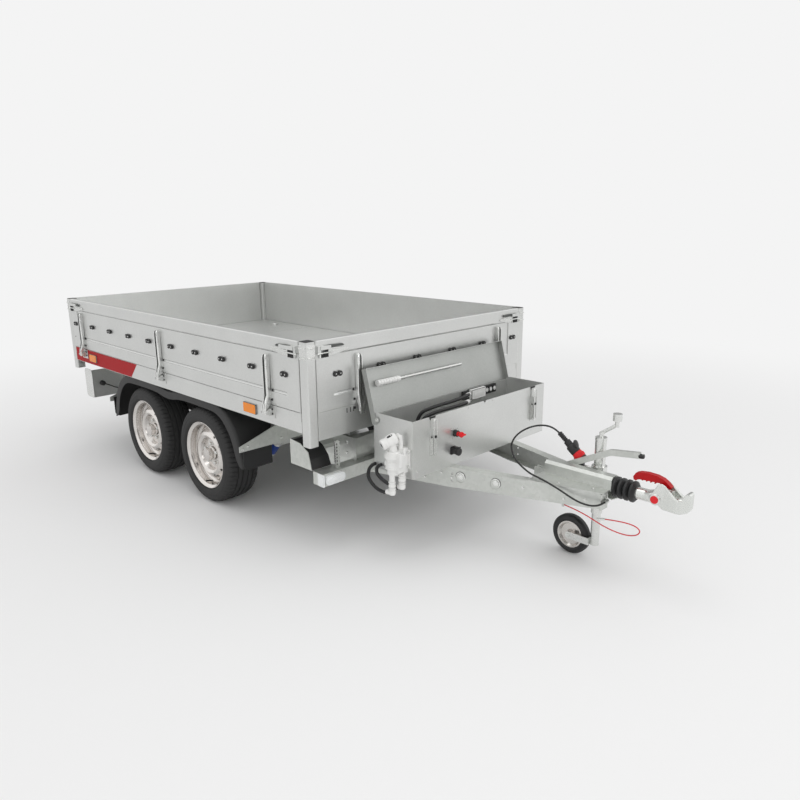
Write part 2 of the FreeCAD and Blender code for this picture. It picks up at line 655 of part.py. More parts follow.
add("overrun_housing", overrun_housing())
add("bellows", bellows())
add("coupling_head", coupling_head())
add("coupling_handle", coupling_grip())

# Hand brake lever: channel arm, bent grip and a release button
pivot = (HOUSING_BACK - 66, RAIL_BOTTOM - 34)
path = [(pivot[0] - 18, pivot[1] - 22), (pivot[0] + 344, pivot[1] + 162), (pivot[0] + 470, pivot[1] + 178)]
lever = ribbon(path, [60], 26, LEVER_Y - LEVER_W / 2, LEVER_Y + LEVER_W / 2)
lever = lever.cut(rod((pivot[0], 0, pivot[1]), (pivot[0], 2 * LEVER_Y, pivot[1]), 6))
grip_x, grip_z = path[-1]
button = rod((grip_x - 2, LEVER_Y, grip_z + 12), (grip_x + 12, LEVER_Y, grip_z + 14), 8)
add("handbrake_lever", fuse(lever, button))

# Jockey wheel: clamp, outer tube, crank, and the swivelling fork with its wheel
tube = pipe((JOCKEY_X, JOCKEY_Y, JOCKEY_TUBE_BOTTOM), (JOCKEY_X, JOCKEY_Y, JOCKEY_TUBE_TOP),
            JOCKEY_TUBE_R, JOCKEY_INNER_R + RUN_GAP)
cap = rod((JOCKEY_X, JOCKEY_Y, JOCKEY_TUBE_TOP), (JOCKEY_X, JOCKEY_Y, JOCKEY_TUBE_TOP + 12),
          JOCKEY_TUBE_R + 1)
stem = rod((JOCKEY_X, JOCKEY_Y, JOCKEY_TUBE_TOP + 12), (JOCKEY_X, JOCKEY_Y, JOCKEY_TUBE_TOP + 34), 9)
crank_end = (JOCKEY_X + 68, JOCKEY_Y, 640)
crank_arm = rod((JOCKEY_X, JOCKEY_Y, JOCKEY_TUBE_TOP + 30), crank_end, 8)
crank_grip = rod((crank_end[0], JOCKEY_Y, 632), (crank_end[0], JOCKEY_Y, 662), 9)
crank_knob = rod((crank_end[0], JOCKEY_Y, 660), (crank_end[0], JOCKEY_Y, 690), 19)
clamp = pipe((JOCKEY_X, JOCKEY_Y, RAIL_BOTTOM + 6), (JOCKEY_X, JOCKEY_Y, RAIL_BOTTOM + 56), 33,
             JOCKEY_TUBE_R)
foot = box(JOCKEY_X - 34, JOCKEY_X + 34, JOCKEY_Y - 28, JOCKEY_Y + 28, RAIL_BOTTOM + 4, RAIL_BOTTOM + 8)
screw = rod((JOCKEY_X - 20, JOCKEY_Y, RAIL_BOTTOM + 34), (JOCKEY_X - 70, JOCKEY_Y, RAIL_BOTTOM + 34), 7)
clamp = fuse(clamp, foot, screw).cut(rod((JOCKEY_X, JOCKEY_Y, 300), (JOCKEY_X, JOCKEY_Y, 450), JOCKEY_TUBE_R))
add("jockey_tube", fuse(tube, cap, stem, crank_arm, crank_grip, crank_knob, clamp))

wheel_x = JOCKEY_X - JOCKEY_TRAIL
half_w = JOCKEY_WHEEL_W / 2
hub_z = JOCKEY_WHEEL_R
strap_h = 16.0
inner_tube = rod((JOCKEY_X, JOCKEY_Y, hub_z - strap_h), (JOCKEY_X, JOCKEY_Y, 420), JOCKEY_INNER_R)
fork_out = half_w + SIDE_GAP + 4
near = JOCKEY_X - JOCKEY_INNER_R + 4
fork_bar = box(near - 4, near, JOCKEY_Y - fork_out, JOCKEY_Y + fork_out, hub_z - strap_h, hub_z + strap_h)
cheek_y = JOCKEY_Y - fork_out
cheek = fuse(box(wheel_x, near, cheek_y, cheek_y + 4, hub_z - strap_h, hub_z + strap_h),
             rod((wheel_x, cheek_y, hub_z), (wheel_x, cheek_y + 4, hub_z), strap_h))
far_cheek = cheek.mirror(V(0, JOCKEY_Y, 0), V(0, 1, 0))
spindle = rod((wheel_x, JOCKEY_Y - fork_out - 6, hub_z), (wheel_x, JOCKEY_Y + fork_out + 6, hub_z), 8)
add("jockey_fork", fuse(fork_bar, cheek, far_cheek, inner_tube, spindle))
hub_r = 8 + RUN_GAP
r = JOCKEY_WHEEL_R
jockey_rim = turned_y([(JOCKEY_Y - half_w, hub_r), (JOCKEY_Y - half_w, 18), (JOCKEY_Y - 7, 22),
                       (JOCKEY_Y - 7, r - 44), (JOCKEY_Y - 18, r - 36), (JOCKEY_Y - 18, r - 30),
                       (JOCKEY_Y + 18, r - 30), (JOCKEY_Y + 18, r - 36), (JOCKEY_Y + 7, r - 44),
                       (JOCKEY_Y + 7, 22), (JOCKEY_Y + half_w, 18), (JOCKEY_Y + half_w, hub_r)], wheel_x, r)
jockey_tyre = turned_y([(JOCKEY_Y - 18, r - 30), (JOCKEY_Y - half_w, r - 20), (JOCKEY_Y - half_w + 3, r - 8),
                        (JOCKEY_Y - 9, r), (JOCKEY_Y + 9, r), (JOCKEY_Y + half_w - 3, r - 8),
                        (JOCKEY_Y + half_w, r - 20), (JOCKEY_Y + 18, r - 30)], wheel_x, r)
add("jockey_rim", jockey_rim)
add("jockey_tyre", jockey_tyre)


# Bed
inside = BED_W / 2 - BOARD_T
rear = -BED_L
floor_half = inside - FLOOR_CLEAR
floor_end = BOARD_T + FLOOR_CLEAR
floor = box(rear + floor_end, -floor_end, -floor_half, floor_half, FLOOR_TOP - FLOOR_T, FLOOR_TOP)
for x0, x1 in ((-POST - 1, 0), (rear, rear + POST + 1)):
    for notch in both_sides(box(x0, x1, -inside, -BED_W / 2 + POST + 1, BAND_BOTTOM, BOARD_TOP)):
        floor = floor.cut(notch)
add("bed_floor", floor)


def hinge_bracket(x):
    """Base plate on the band with two ears and the pin of a side board's hinge."""
    half = BED_W / 2
    axis = -half - HINGE_OUT
    parts = [box(x - 40, x + 40, -half - 2, -half + BAND_INSET, HINGE_Z - 28, HINGE_Z + 28)]
    for a, b in ((x - 24, x - 18), (x + 18, x + 24)):
        parts.append(box(a, b, axis, -half - 1, HINGE_Z - 16, HINGE_Z + 16))
        parts.append(rod((a, axis, HINGE_Z), (b, axis, HINGE_Z), 11))
    parts.append(rod((x - 27, axis, HINGE_Z), (x + 27, axis, HINGE_Z), HINGE_PIN_R))
    return fuse(*parts)


def bed_frame():
    """Perimeter bands, cross beams on two runners, and the cylinder's clevis."""
    face = BED_W / 2 - BAND_INSET
    parts = [channel_x(rear + POST, -POST, side * face, BAND_FLANGE, BAND_BOTTOM, BAND_TOP, SHEET)
             for side in (-1, 1)]
    reach = BED_W / 2 - POST
    front = fuse(box(-BAND_INSET - SHEET, -BAND_INSET, -reach, reach, FRONT_BAND_BOTTOM, BAND_TOP),
                 box(-BAND_INSET - BAND_FLANGE, -BAND_INSET, -reach, reach, BAND_TOP - SHEET, BAND_TOP),
                 box(-BAND_INSET - 16, -BAND_INSET, -reach, reach,
                     FRONT_BAND_BOTTOM, FRONT_BAND_BOTTOM + SHEET))
    back = fuse(box(rear + BAND_INSET, rear + BAND_INSET + SHEET, -reach, reach, BAND_BOTTOM, BAND_TOP),
                box(rear + BAND_INSET, rear + BAND_FLANGE, -reach, reach, BAND_TOP - SHEET, BAND_TOP),
                box(rear + BAND_INSET, rear + BAND_FLANGE, -reach, reach, BAND_BOTTOM, BAND_BOTTOM + SHEET))
    parts += [front, back]
    beam_half = face - SHEET
    for k in range(CROSSBEAM_COUNT):
        x = CROSSBEAM_FIRST - k * CROSSBEAM_PITCH
        beam = channel_y(x - CROSS_W, x, beam_half, BAND_BOTTOM + SHEET, FLOOR_TOP - FLOOR_T, SHEET)
        step = box(x - CROSS_W - 1, x + 1, -face, -face + BAND_FLANGE + 1, BAND_TOP - SHEET, FLOOR_TOP)
        for side in both_sides(step):
            beam = beam.cut(side)
        parts.append(beam)
    web_y = -RAIL_Y + RUNNER_CLEAR
    edge_y = -RAIL_Y + RAIL_W - RUNNER_CLEAR
    runner = fuse(box(PIVOT_X, -60, web_y, edge_y, RUNNER_BOTTOM, BAND_BOTTOM + SHEET),
                  rod((PIVOT_X, web_y, PIVOT_Z), (PIVOT_X, edge_y, PIVOT_Z), PIVOT_Z - RUNNER_BOTTOM))
    hollow = box(PIVOT_X + 60, -59, web_y + RAIL_T, edge_y + 1, RUNNER_BOTTOM + RAIL_T, BAND_BOTTOM - 1)
    runner = runner.cut(hollow).cut(rod((PIVOT_X, web_y - 1, PIVOT_Z), (PIVOT_X, edge_y + 1, PIVOT_Z),
                                        PIVOT_PIN_R + RUN_GAP))
    parts += both_sides(runner)
    clevis_base = box(CROSSBEAM_FIRST - 3 * CROSSBEAM_PITCH - CROSS_W, CROSSBEAM_FIRST - 2 * CROSSBEAM_PITCH,
                      -60, 60, BAND_BOTTOM - 3, BAND_BOTTOM + SHEET)
    cheek = fuse(box(CYL_EYE_X - 28, CYL_EYE_X + 28, -42, -34, CYL_EYE_Z, BAND_BOTTOM - 3),
                 rod((CYL_EYE_X, -42, CYL_EYE_Z), (CYL_EYE_X, -34, CYL_EYE_Z), 26))
    parts += [clevis_base] + both_sides(cheek)
    for x in STRAP_XS:
        parts += both_sides(hinge_bracket(x))
    return fuse(*parts)


add("bed_frame", bed_frame())

cross_half = BED_W / 2 - POST - POST_GAP
post_solids = []
for x0 in (-POST, rear):
    for side in (-1, 1):
        y0 = BED_W / 2 - POST if side > 0 else -BED_W / 2
        post = rounded(box(x0, x0 + POST, y0, y0 + POST, POST_BOTTOM, POST_TOP), 7, (0, 0, 1))
        x1, y1 = x0 + POST - SHEET, y0 + POST - SHEET
        post = post.cut(box(x0 + SHEET, x1, y0 + SHEET, y1, POST_BOTTOM - 1, POST_TOP - SHEET))
        if x0 == rear:
            ear_y = sorted((side * (BED_W / 2 - POST), side * (BED_W / 2 - POST + 4)))
            ear = box(rear - 14, rear + 14, ear_y[0], ear_y[1], TAILGATE_PIN_Z - 20, TAILGATE_PIN_Z + 20)
            post = post.fuse(ear)
            pin_x = rear + BOARD_T / 2
            post = post.cut(rod((pin_x, side * (cross_half - 24), TAILGATE_PIN_Z),
                                (pin_x, side * (cross_half + 16), TAILGATE_PIN_Z), TAILGATE_PIN_R + RUN_GAP))
        post_solids.append(post)
add("corner_posts", *post_solids)


# Boards: a rolled profile of (out, z) points, out measured from the inner face
def board_profile(bottom):
    t, r = BOARD_T, BOARD_RECESS
    rail_z = BOARD_TOP - BOARD_RAIL_H
    return [(0, bottom), (t - 2, bottom), (t, bottom + 3), (t, BOARD_RIDGE_Z - 4), (t - r, BOARD_RIDGE_Z + 4),
            (t - r, rail_z - 4), (t, rail_z + 2), (t, BOARD_TOP - 4), (t - 4, BOARD_TOP), (0, BOARD_TOP)]


def strap(outer):
    """Pressed hinge strap in (out, z), from the board's face down to the knuckle."""
    face = outer + STRAP_T
    knuckle = outer + HINGE_OUT
    return [(outer - BOARD_RECESS, STRAP_TOP), (face - 5, STRAP_TOP), (face, STRAP_TOP - 10),
            (face, BOARD_BOTTOM + 44), (knuckle + 8, HINGE_Z + 26), (knuckle + KNUCKLE_R, HINGE_Z),
            (knuckle - 6, HINGE_Z), (knuckle - 7, HINGE_Z + 24), (outer, BOARD_BOTTOM + 28)]


def latch_on_x(x_end, towards, outer):
    """Over-centre latch lever on a board's end: base, tension rod and handle."""
    low = BOARD_TOP - LATCH_DROP
    a, b = sorted((x_end, x_end + towards * LATCH_BASE))
    c, d = sorted((x_end + towards * 14, x_end + towards * (14 + LATCH_L)))
    return fuse(box(a, b, -outer - 10, -outer, low, low + 30),
                box(c, d, -outer - 14, -outer - 6, low + 12, low + 28))


def side_board():
    """Right-hand board with end plates, three hinge straps and two latches."""
    half = BED_W / 2
    x0, x1 = rear + POST + BOARD_CLEAR, -POST - BOARD_CLEAR
    board = plate_x([(-inside - o, z) for o, z in board_profile(BOARD_BOTTOM)], x0, x1)
    for a, b in ((x0, x0 + BOARD_END_W), (x1 - BOARD_END_W, x1)):
        board = board.fuse(box(a, b, -half, -half + BOARD_RECESS + 1, BOARD_BOTTOM + 5, BOARD_TOP - 10))
    axis = -half - HINGE_OUT
    for x in STRAP_XS:
        a, b = x - STRAP_W / 2, x + STRAP_W / 2
        piece = plate_x([(-o, z) for o, z in strap(half)], a, b)
        knuckle = rod((a, axis, HINGE_Z), (b, axis, HINGE_Z), KNUCKLE_R)
        bore = rod((a - 6, axis, HINGE_Z), (b + 6, axis, HINGE_Z), HINGE_PIN_R + RUN_GAP)
        board = board.fuse(piece).fuse(knuckle).cut(bore)
    board = board.fuse(latch_on_x(x0 + 4, 1, half)).fuse(latch_on_x(x1 - 4, -1, half))
    return board.removeSplitter()


board = side_board()
add("board_right", board)
add("board_left", flip(board))


front_board = plate_y([(-BOARD_T + o, z) for o, z in board_profile(BAND_TOP)], -cross_half, cross_half)
for y0, y1 in ((-cross_half, -cross_half + BOARD_END_W), (cross_half - BOARD_END_W, cross_half)):
    front_board = front_board.fuse(box(-BOARD_RECESS - 1, 0, y0, y1, BOARD_BOTTOM + 5, BOARD_TOP - 10))
for y in FRONT_STRAP_YS:
    front_board = front_board.fuse(plate_y(strap(0), y - STRAP_W / 2, y + STRAP_W / 2))
low = BOARD_TOP - LATCH_DROP
for s in (-1, 1):
    a, b = sorted((s * cross_half, s * (cross_half - LATCH_BASE)))
    c, d = sorted((s * (cross_half - 14), s * (cross_half - 14 - 56)))
    front_board = front_board.fuse(box(0, 10, a, b, low, low + 30))
    front_board = front_board.fuse(box(6, 14, c, d, low + 12, low + 28))
add("front_board", front_board.removeSplitter())

tail_profile = [(rear + BOARD_T - o, z) for o, z in board_profile(BOARD_BOTTOM + BOARD_RECESS)]
tailgate = plate_y(tail_profile, -cross_half, cross_half)
for s in (-1, 1):
    pin = rod((rear + BOARD_T / 2, s * (cross_half - 10), TAILGATE_PIN_Z),
              (rear + BOARD_T / 2, s * (cross_half + 8), TAILGATE_PIN_Z), TAILGATE_PIN_R)
    tailgate = tailgate.fuse(pin)
add("tailgate", tailgate.removeSplitter())


# Amber reflectors on the side bands
band_y = BED_W / 2 - BAND_INSET
lenses = []
for x in REFLECTOR_XS:
    lens = box(x - REFLECTOR_L / 2, x + REFLECTOR_L / 2, -band_y - 8, -band_y,
               BAND_BOTTOM + 22, BAND_BOTTOM + 22 + REFLECTOR_H)
    lens = rounded(lens, 6, (0, 1, 0))
    lenses += both_sides(lens)
add("side_reflectors", *lenses)


# Tipping cylinder: barrel and nested stages along the line from base pin to eye
def along(distance):
    run = V(CYL_EYE_X - CYL_BASE_X, 0, CYL_EYE_Z - CYL_BASE_Z)
    point = V(CYL_BASE_X, 0, CYL_BASE_Z) + run.normalize() * distance
    return (point.x, 0, point.z)


lever_x, lever_z = CYL_EYE_X - PIVOT_X, CYL_EYE_Z - PIVOT_Z
tilt = math.radians(TILT)
raised_x = PIVOT_X + lever_x * math.cos(tilt) - lever_z * math.sin(tilt) - CYL_BASE_X
raised_z = PIVOT_Z + lever_x * math.sin(tilt) + lever_z * math.cos(tilt) - CYL_BASE_Z
swing = math.atan2(raised_z, raised_x) - math.atan2(CYL_EYE_Z - CYL_BASE_Z, CYL_EYE_X - CYL_BASE_X)
closed_length = math.hypot(CYL_EYE_X - CYL_BASE_X, CYL_EYE_Z - CYL_BASE_Z)
travel = math.hypot(raised_x, raised_z) - closed_length
barrel_end = closed_length - 88
barrel = fuse(rod(along(44), along(barrel_end), BARREL_R), rod(along(10), along(50), 20),
              rod((CYL_BASE_X, -21, CYL_BASE_Z), (CYL_BASE_X, 21, CYL_BASE_Z), 25))
barrel = barrel.cut(rod(along(58), along(barrel_end + 1), BARREL_R - BARREL_WALL))
barrel = barrel.cut(rod((CYL_BASE_X, -30, CYL_BASE_Z), (CYL_BASE_X, 30, CYL_BASE_Z), 12 + RUN_GAP))
add("cylinder_barrel", barrel)
for k in range(STAGES):
    outer = BARREL_R - BARREL_WALL * (k + 1) - RUN_GAP * (k + 1)
    start, end = 62 + 4 * k, barrel_end + STAGE_STEP * (k + 1)
    stage = rod(along(start), along(end), outer)
    if k < STAGES - 1:
        stage = stage.cut(rod(along(start - 1), along(end + 1), outer - BARREL_WALL))
    else:
        neck = rod(along(end - 1), along(closed_length - 18), 18)
        eye = rod((CYL_EYE_X, -22, CYL_EYE_Z), (CYL_EYE_X, 22, CYL_EYE_Z), CYL_EYE_R)
        pin = rod((CYL_EYE_X, -28, CYL_EYE_Z), (CYL_EYE_X, 28, CYL_EYE_Z), CYL_PIN_R)
        stage = fuse(stage, neck, eye, pin)
    add("cylinder_stage_%d" % (k + 1), stage)


# Tool box on the drawbar and its lid
def tool_box():
    """Open sheet box with a low rear wall and rounded hinge corners."""
    low = RAIL_BOTTOM
    shell = box(BOX_BACK, BOX_FRONT, -BOX_HALF, BOX_HALF, low, BOX_TOP)
    shell = shell.cut(box(BOX_BACK + BOX_T, BOX_FRONT - BOX_T, -BOX_HALF + BOX_T, BOX_HALF - BOX_T,
                          low + BOX_T, BOX_TOP + 1))
    shell = shell.cut(box(BOX_BACK - 1, BOX_BACK + BOX_T + 1, -BOX_HALF + BOX_T, BOX_HALF - BOX_T,
                          BOX_REAR_TOP, BOX_TOP + 1))
    corner = box(BOX_BACK - 1, LID_PIVOT_X, -BOX_HALF - 1, BOX_HALF + 1, LID_PIVOT_Z, BOX_TOP + 1)
    round_off = rod((LID_PIVOT_X, -BOX_HALF - 2, LID_PIVOT_Z),
                    (LID_PIVOT_X, BOX_HALF + 2, LID_PIVOT_Z), LID_CORNER_R)
    corner = corner.cut(round_off)
    keep = box(BOX_BACK - 1, BOX_BACK + BOX_T, -BOX_HALF + BOX_T, BOX_HALF - BOX_T, low, BOX_REAR_TOP)
    shell = shell.cut(corner.cut(keep))
    for y in (-379, 0, 384):
        outline = [(y - 11, BOX_TOP + 1), (y + 11, BOX_TOP + 1), (y + 5, BOX_TOP - 9), (y - 5, BOX_TOP - 9)]
        notch = plate_x(outline, BOX_FRONT - BOX_T - 1, BOX_FRONT + 1)
        shell = shell.cut(notch)
    for side in (-1, 1):
        a = side * (BOX_HALF - BOX_T)
        b = side * (BOX_HALF + LID_GAP + LID_T + 4)
        shell = shell.fuse(rod((LID_PIVOT_X, a, LID_PIVOT_Z), (LID_PIVOT_X, b, LID_PIVOT_Z), LID_BOLT_R))
    return shell.removeSplitter()


def open_lid(shape):
    """Swing a shape on the closed lid up to its resting place."""
    shape.rotate(V(LID_PIVOT_X, 0, LID_PIVOT_Z), V(0, 1, 0), -LID_OPEN)
    return shape


def lid():
    """Sheet lid with front and side flanges and two hinge ears, made closed."""
    px, pz = LID_PIVOT_X, LID_PIVOT_Z
    top = pz + LID_RISE + LID_T
    outer = BOX_HALF + LID_GAP + LID_T
    parts = [box(px - LID_BACK, px + LID_REACH, -outer, outer, top - LID_T, top),
             box(px + LID_REACH - LID_T, px + LID_REACH, -outer, outer, top - LID_FLANGE, top)]
    for side in (-1, 1):
        a, b = sorted((side * outer, side * (outer - LID_T)))
        parts.append(box(px - LID_BACK, px + LID_REACH, a, b, top - LID_FLANGE, top))
        parts.append(rod((px, a, pz), (px, b, pz), 15))
        parts.append(box(px - 15, px + 15, a, b, pz, top - LID_T))
    shape = fuse(*parts)
    for side in (-1, 1):
        shape = shape.cut(rod((px, side * (outer + 1), pz), (px, side * (outer - LID_T - 1), pz),
                              LID_BOLT_R + RUN_GAP))
    return open_lid(shape)


def pump_handle():
    """Hand-pump handle in two clips on the inside of the lid: ribbed grip and bar."""
    x = LID_PIVOT_X + 158
    z = LID_PIVOT_Z + LID_RISE - 17
    parts = [rod((x, -300, z), (x, 146, z), 7)]
    for k in range(8):
        y = -439 + k * 17
        parts.append(rod((x, y, z), (x, y + 14, z), 14))
    parts.append(rod((x, -439, z), (x, -296, z), 11.5))
    for y in (-262, 60):
        parts.append(box(x - 6, x + 6, y - 8, y + 8, z, LID_PIVOT_Z + LID_RISE))
    return open_lid(fuse(*parts))


toggles = []
for y in (-370, 390):
    toggles.append(fuse(box(BOX_FRONT, BOX_FRONT + 6, y - 14, y + 14, 476, 642),
                        box(BOX_FRONT + 6, BOX_FRONT + 18, y - 9, y + 9, 486, 598),
                        rod((BOX_FRONT + 12, y - 16, 560), (BOX_FRONT + 12, y + 16, 560), 5)))
add("tool_box", fuse(tool_box(), *toggles))
add("tool_box_lid", lid())
add("pump_handle", pump_handle())

unit_back = BOX_BACK + BOX_T
control = fuse(box(unit_back, unit_back + 14, 112, 380, 588, 632),
               box(unit_back, unit_back + 30, 160, 272, 584, 634))
for y in (296, 328, 360):
    control = control.fuse(rod((unit_back, y, 612), (unit_back + 20, y, 612), 13))
add("control_unit", control)

red_plug = fuse(rod((BOX_FRONT, -217, 539), (BOX_FRONT + 14, -217, 539), 20),
                rod((BOX_FRONT + 14, -217, 539), (BOX_FRONT + 44, -217, 539), 14),
                rod((BOX_FRONT + 44, -217, 539), (BOX_FRONT + 58, -217, 539), 6))
black_socket = fuse(box(BOX_FRONT, BOX_FRONT + 8, -256, -206, 438, 484),
                    rod((BOX_FRONT + 8, -231, 461), (BOX_FRONT + 42, -231, 461), 21))
add("battery_switch", red_plug)
add("box_socket", black_socket)


# Hand pump on the side of the tool box and its hoses
pump_y = -BOX_HALF - PUMP_OUT
port_back = (PUMP_X - 14, pump_y - 10)
port_front = (PUMP_X + 28, pump_y + 18)
port_back_z = PUMP_Z - 99
port_front_z = PUMP_Z - 71


def hand_pump():
    """Cast hand pump: bracket, round body, slanted lever socket and two elbow ports."""
    wall, x, y, z = -BOX_HALF, PUMP_X, pump_y, PUMP_Z
    base = box(x - 22, x + 60, wall - 8, wall, z + 9, z + 145)
    web = box(x - 8, x + 30, wall - 24, wall - 4, z + 25, z + 130)
    body = fuse(rod((x, y, z), (x, y, z + 93), PUMP_R), rod((x, y, z + 85), (x, y, z + 103), PUMP_R - 6))
    low, high = V(x - 56, y, z + 113), V(x + 52, y, z + 179)
    run = (high - low).normalize()
    head = rod(tuple(low), tuple(high), PUMP_R - 10)
    bore = rod(tuple(low - run), tuple(low + run * 70), PUMP_R - 24)
    window = rod((x + 8, y, z + 146), (x - 16, y, z + 186), 9)
    mouth = rod((x, y, z + 147), (x + 20, y - 2, z + 197), 17)
    shell = fuse(base, web, body, head, mouth).cut(bore).cut(window)
    (bx, by), (fx, fy) = port_back, port_front
    legs = [rod((bx, by, port_back_z - 12), (bx, by, z + 5), 14),
            rod((fx, fy, port_front_z - 10), (fx, fy, z + 10), 14)]
    knees = [rod((bx, by, port_back_z), (bx - 34, by, port_back_z), 12),
             rod((fx, fy, port_front_z), (fx - 22, fy, port_front_z), 10)]
    arm = rod((x + 48, y, z + 45), (x + 48, y, z + 105), 11)
    shoulder = rod((x + 30, y, z + 85), (x + 52, y, z + 85), 11)
    return fuse(shell, *legs, *knees, arm, shoulder)


add("hand_pump", hand_pump())
add("pump_hoses",
    cord([(222, pump_y - 10, 316), (178, pump_y - 10, 316), (134, pump_y - 6, 334), (102, pump_y, 358),
          (94, pump_y + 16, 388), (106, pump_y + 30, 408), (106, -BOX_HALF, 408)], 8, "hose a"),
    cord([(276, pump_y + 18, 344), (230, pump_y + 18, 344), (186, pump_y + 15, 356), (152, pump_y + 10, 378),
          (142, pump_y + 18, 402), (144, pump_y + 30, 412), (144, -BOX_HALF, 412)], 8, "hose b"))


# Mudguards, brackets and flaps
def mudguard():
    """Black plastic tandem guard: two flat-topped arches with a valley between."""
    middle = (FRONT_AXLE_X + REAR_AXLE_X) / 2
    half = AXLE_SPACING / 2
    t = MUDGUARD_T
    side = [(half + MUDGUARD_END, MUDGUARD_END_Z), (half + MUDGUARD_CORNER, MUDGUARD_TOP),
            (94, MUDGUARD_TOP), (0, MUDGUARD_VALLEY_Z)]
    path = [(middle + x, z) for x, z in side]
    path += [(middle - x, z) for x, z in reversed(side[:-1])]
    sheet = ribbon(path, [120, 60, 40, 60, 120], t, -MUDGUARD_OUT, -MUDGUARD_IN)
    lip = ribbon(path, [120, 60, 40, 60, 120], 24, -MUDGUARD_OUT, -MUDGUARD_OUT + t)
    return fuse(sheet, lip)


guard = mudguard()
add("mudguard_right", guard)
add("mudguard_left", flip(guard))

hangers = []
flaps = []
middle = (FRONT_AXLE_X + REAR_AXLE_X) / 2
reach = AXLE_SPACING / 2 + MUDGUARD_END
for end in (1, -1):
    x = middle + end * (reach + 4)
    a, b = sorted((x, x + end * 4))
    outline = [(-MUDGUARD_OUT - 20, 378), (-MUDGUARD_OUT - 20, 406), (-RAIL_Y, 496), (-RAIL_Y, 376)]
    hanger = plate_x(outline, a, b)
    hangers += both_sides(hanger)
    c, d = sorted((x - end * 4, x))
    flaps += both_sides(box(c, d, -MUDGUARD_OUT + 6, -MUDGUARD_IN + 4, 272, 402))
add("mudguard_brackets", *hangers)
add("mud_flaps", *flaps)


# Light bar at the rear, lamp bar at the front, chock holders
bar_back, bar_front = -2545.0, -2445.0
bar = fuse(box(bar_front - SHEET, bar_front, -718, 718, 315, 505),
           box(bar_back, bar_front, -718, 718, 315, 315 + SHEET),
           box(bar_back, bar_back + SHEET, -718, 718, 315, 470),
           box(bar_back, bar_front, -718, -718 + SHEET, 315, 470),
           box(bar_back, bar_front, 718 - SHEET, 718, 315, 470))
for slot in both_sides(box(bar_front - SHEET - 1, bar_front + 1, -RAIL_Y - 8, -RAIL_Y + RAIL_W + 8,
                           RAIL_BOTTOM, 510)):
    bar = bar.cut(slot)
add("light_bar", bar)
lamps = []
for side in (-1, 1):
    a, b = sorted((side * 690, side * 460))
    lamps.append(box(bar_back - 22, bar_back, a, b, 340, 450))
add("tail_lamps", *lamps)

lamp_z0, lamp_z1 = 330.0, RAIL_BOTTOM
lamp_end = 722.0
arm = box(-60, 10, -lamp_end, -330, lamp_z0, lamp_z1)
arm = arm.cut(box(-61, 10 - SHEET, -lamp_end + SHEET, -329, lamp_z0 + SHEET, lamp_z1 - SHEET))
envelope = box(TIP_X - DRAWBAR_LENGTH, TIP_X, -TIP_Y, -TIP_Y + 200, lamp_z0 - 10, lamp_z1 + 10)
envelope.rotate(V(TIP_X, -TIP_Y, 0), V(0, 0, 1), DRAWBAR_ANGLE)
hang = box(-24, -20, -624, -604, lamp_z1, 517)
arm = fuse(arm.cut(envelope), hang)
marker = rounded(box(10, 24, -lamp_end + 6, -lamp_end + 118, lamp_z0 + 8, lamp_z1 - 8), 20, (1, 0, 0))
add("front_lamps", *both_sides(marker))

holder = plate_y([(-226, 388), (-226, 508), (-150, 500), (-96, 470), (-72, 388)], -720, -717)
holder = holder.fuse(plate_y([(-226, 388), (-72, 388), (-72, 391), (-226, 391)], -717, -610))
holder = holder.fuse(box(-226, -223, -720, -610, 388, 508))
link = box(-226, -150, -610, -RAIL_Y, 440, 460)
add("front_lamp_bar", *(both_sides(arm) + both_sides(fuse(holder, link))))
chock = plate_y([(-220, 391.5), (-220, 500), (-170, 496), (-120, 474), (-84, 436), (-66, 391.5)], -716, -612)
add("wheel_chocks", *both_sides(chock))


# Drawbar tip plate, cable, plug and breakaway rope
tip_plate = box(TIP_X, TIP_X + 5, -88, -30, 316, 388)
gland_x = TIP_X + 12
gland = rod((gland_x, -68, 352), (gland_x, -44, 352), 8)
ring = Part.makeTorus(11, 2.5, V(TIP_X + 7, -52, 376), V(1, 0, 0))
add("tip_bracket", fuse(tip_plate, gland, ring.common(box(TIP_X + 1, TIP_X + 20, -80, -20, 352, 374))))

plug_start, plug_end = V(722, 74, 536), V(818, 84, 452)
add("power_cable", cord([
    (gland_x, -68, 352), (gland_x, -104, 350), (994, -134, 349), (950, -140, 351),
    (904, -141, 362), (854, -144, 382), (800, -148, 400),
    (745, -140, 408), (690, -118, 404), (636, -92, 408), (584, -70, 420), (546, -56, 446),
    (526, -44, 482), (538, -32, 522), (572, -16, 558), (618, 10, 582), (660, 42, 584),
    (692, 70.9, 562.3), tuple(plug_start)], 4, "power cable"))
plug_run = (plug_end - plug_start)
plug_axis = V(plug_run).normalize()


def plug_section(a, b, radius):
    return Part.makeCylinder(radius, (b - a) * plug_run.Length, plug_start + plug_run * a, plug_axis)


add("power_plug", fuse(plug_section(0.0, 0.25, 8), plug_section(0.2, 0.45, 14), plug_section(0.4, 0.78, 21)))
add("plug_holder", fuse(plug_section(0.78, 1.0, 24),
                        box(806, 826, 74, 94, RAIL_BOTTOM + 4, RAIL_BOTTOM + 56)))
add("breakaway_rope", cord([
    (851.3, -104, 305), (892, -92, 294), (936, -66, 270), (968, -44, 246), (1006, -30, 226), (1056, -20, 214),
    (1104, -14, 213), (1140, -12, 226), (1154, -14, 248), (1138, -20, 266), (1102, -28, 273),
    (1056, -36, 272), (1012, -44, 268)], 2.5, "breakaway rope"))
add("carabiner", rod((1011.7, -44.1, 268), (976, -49.4, 260), 5))

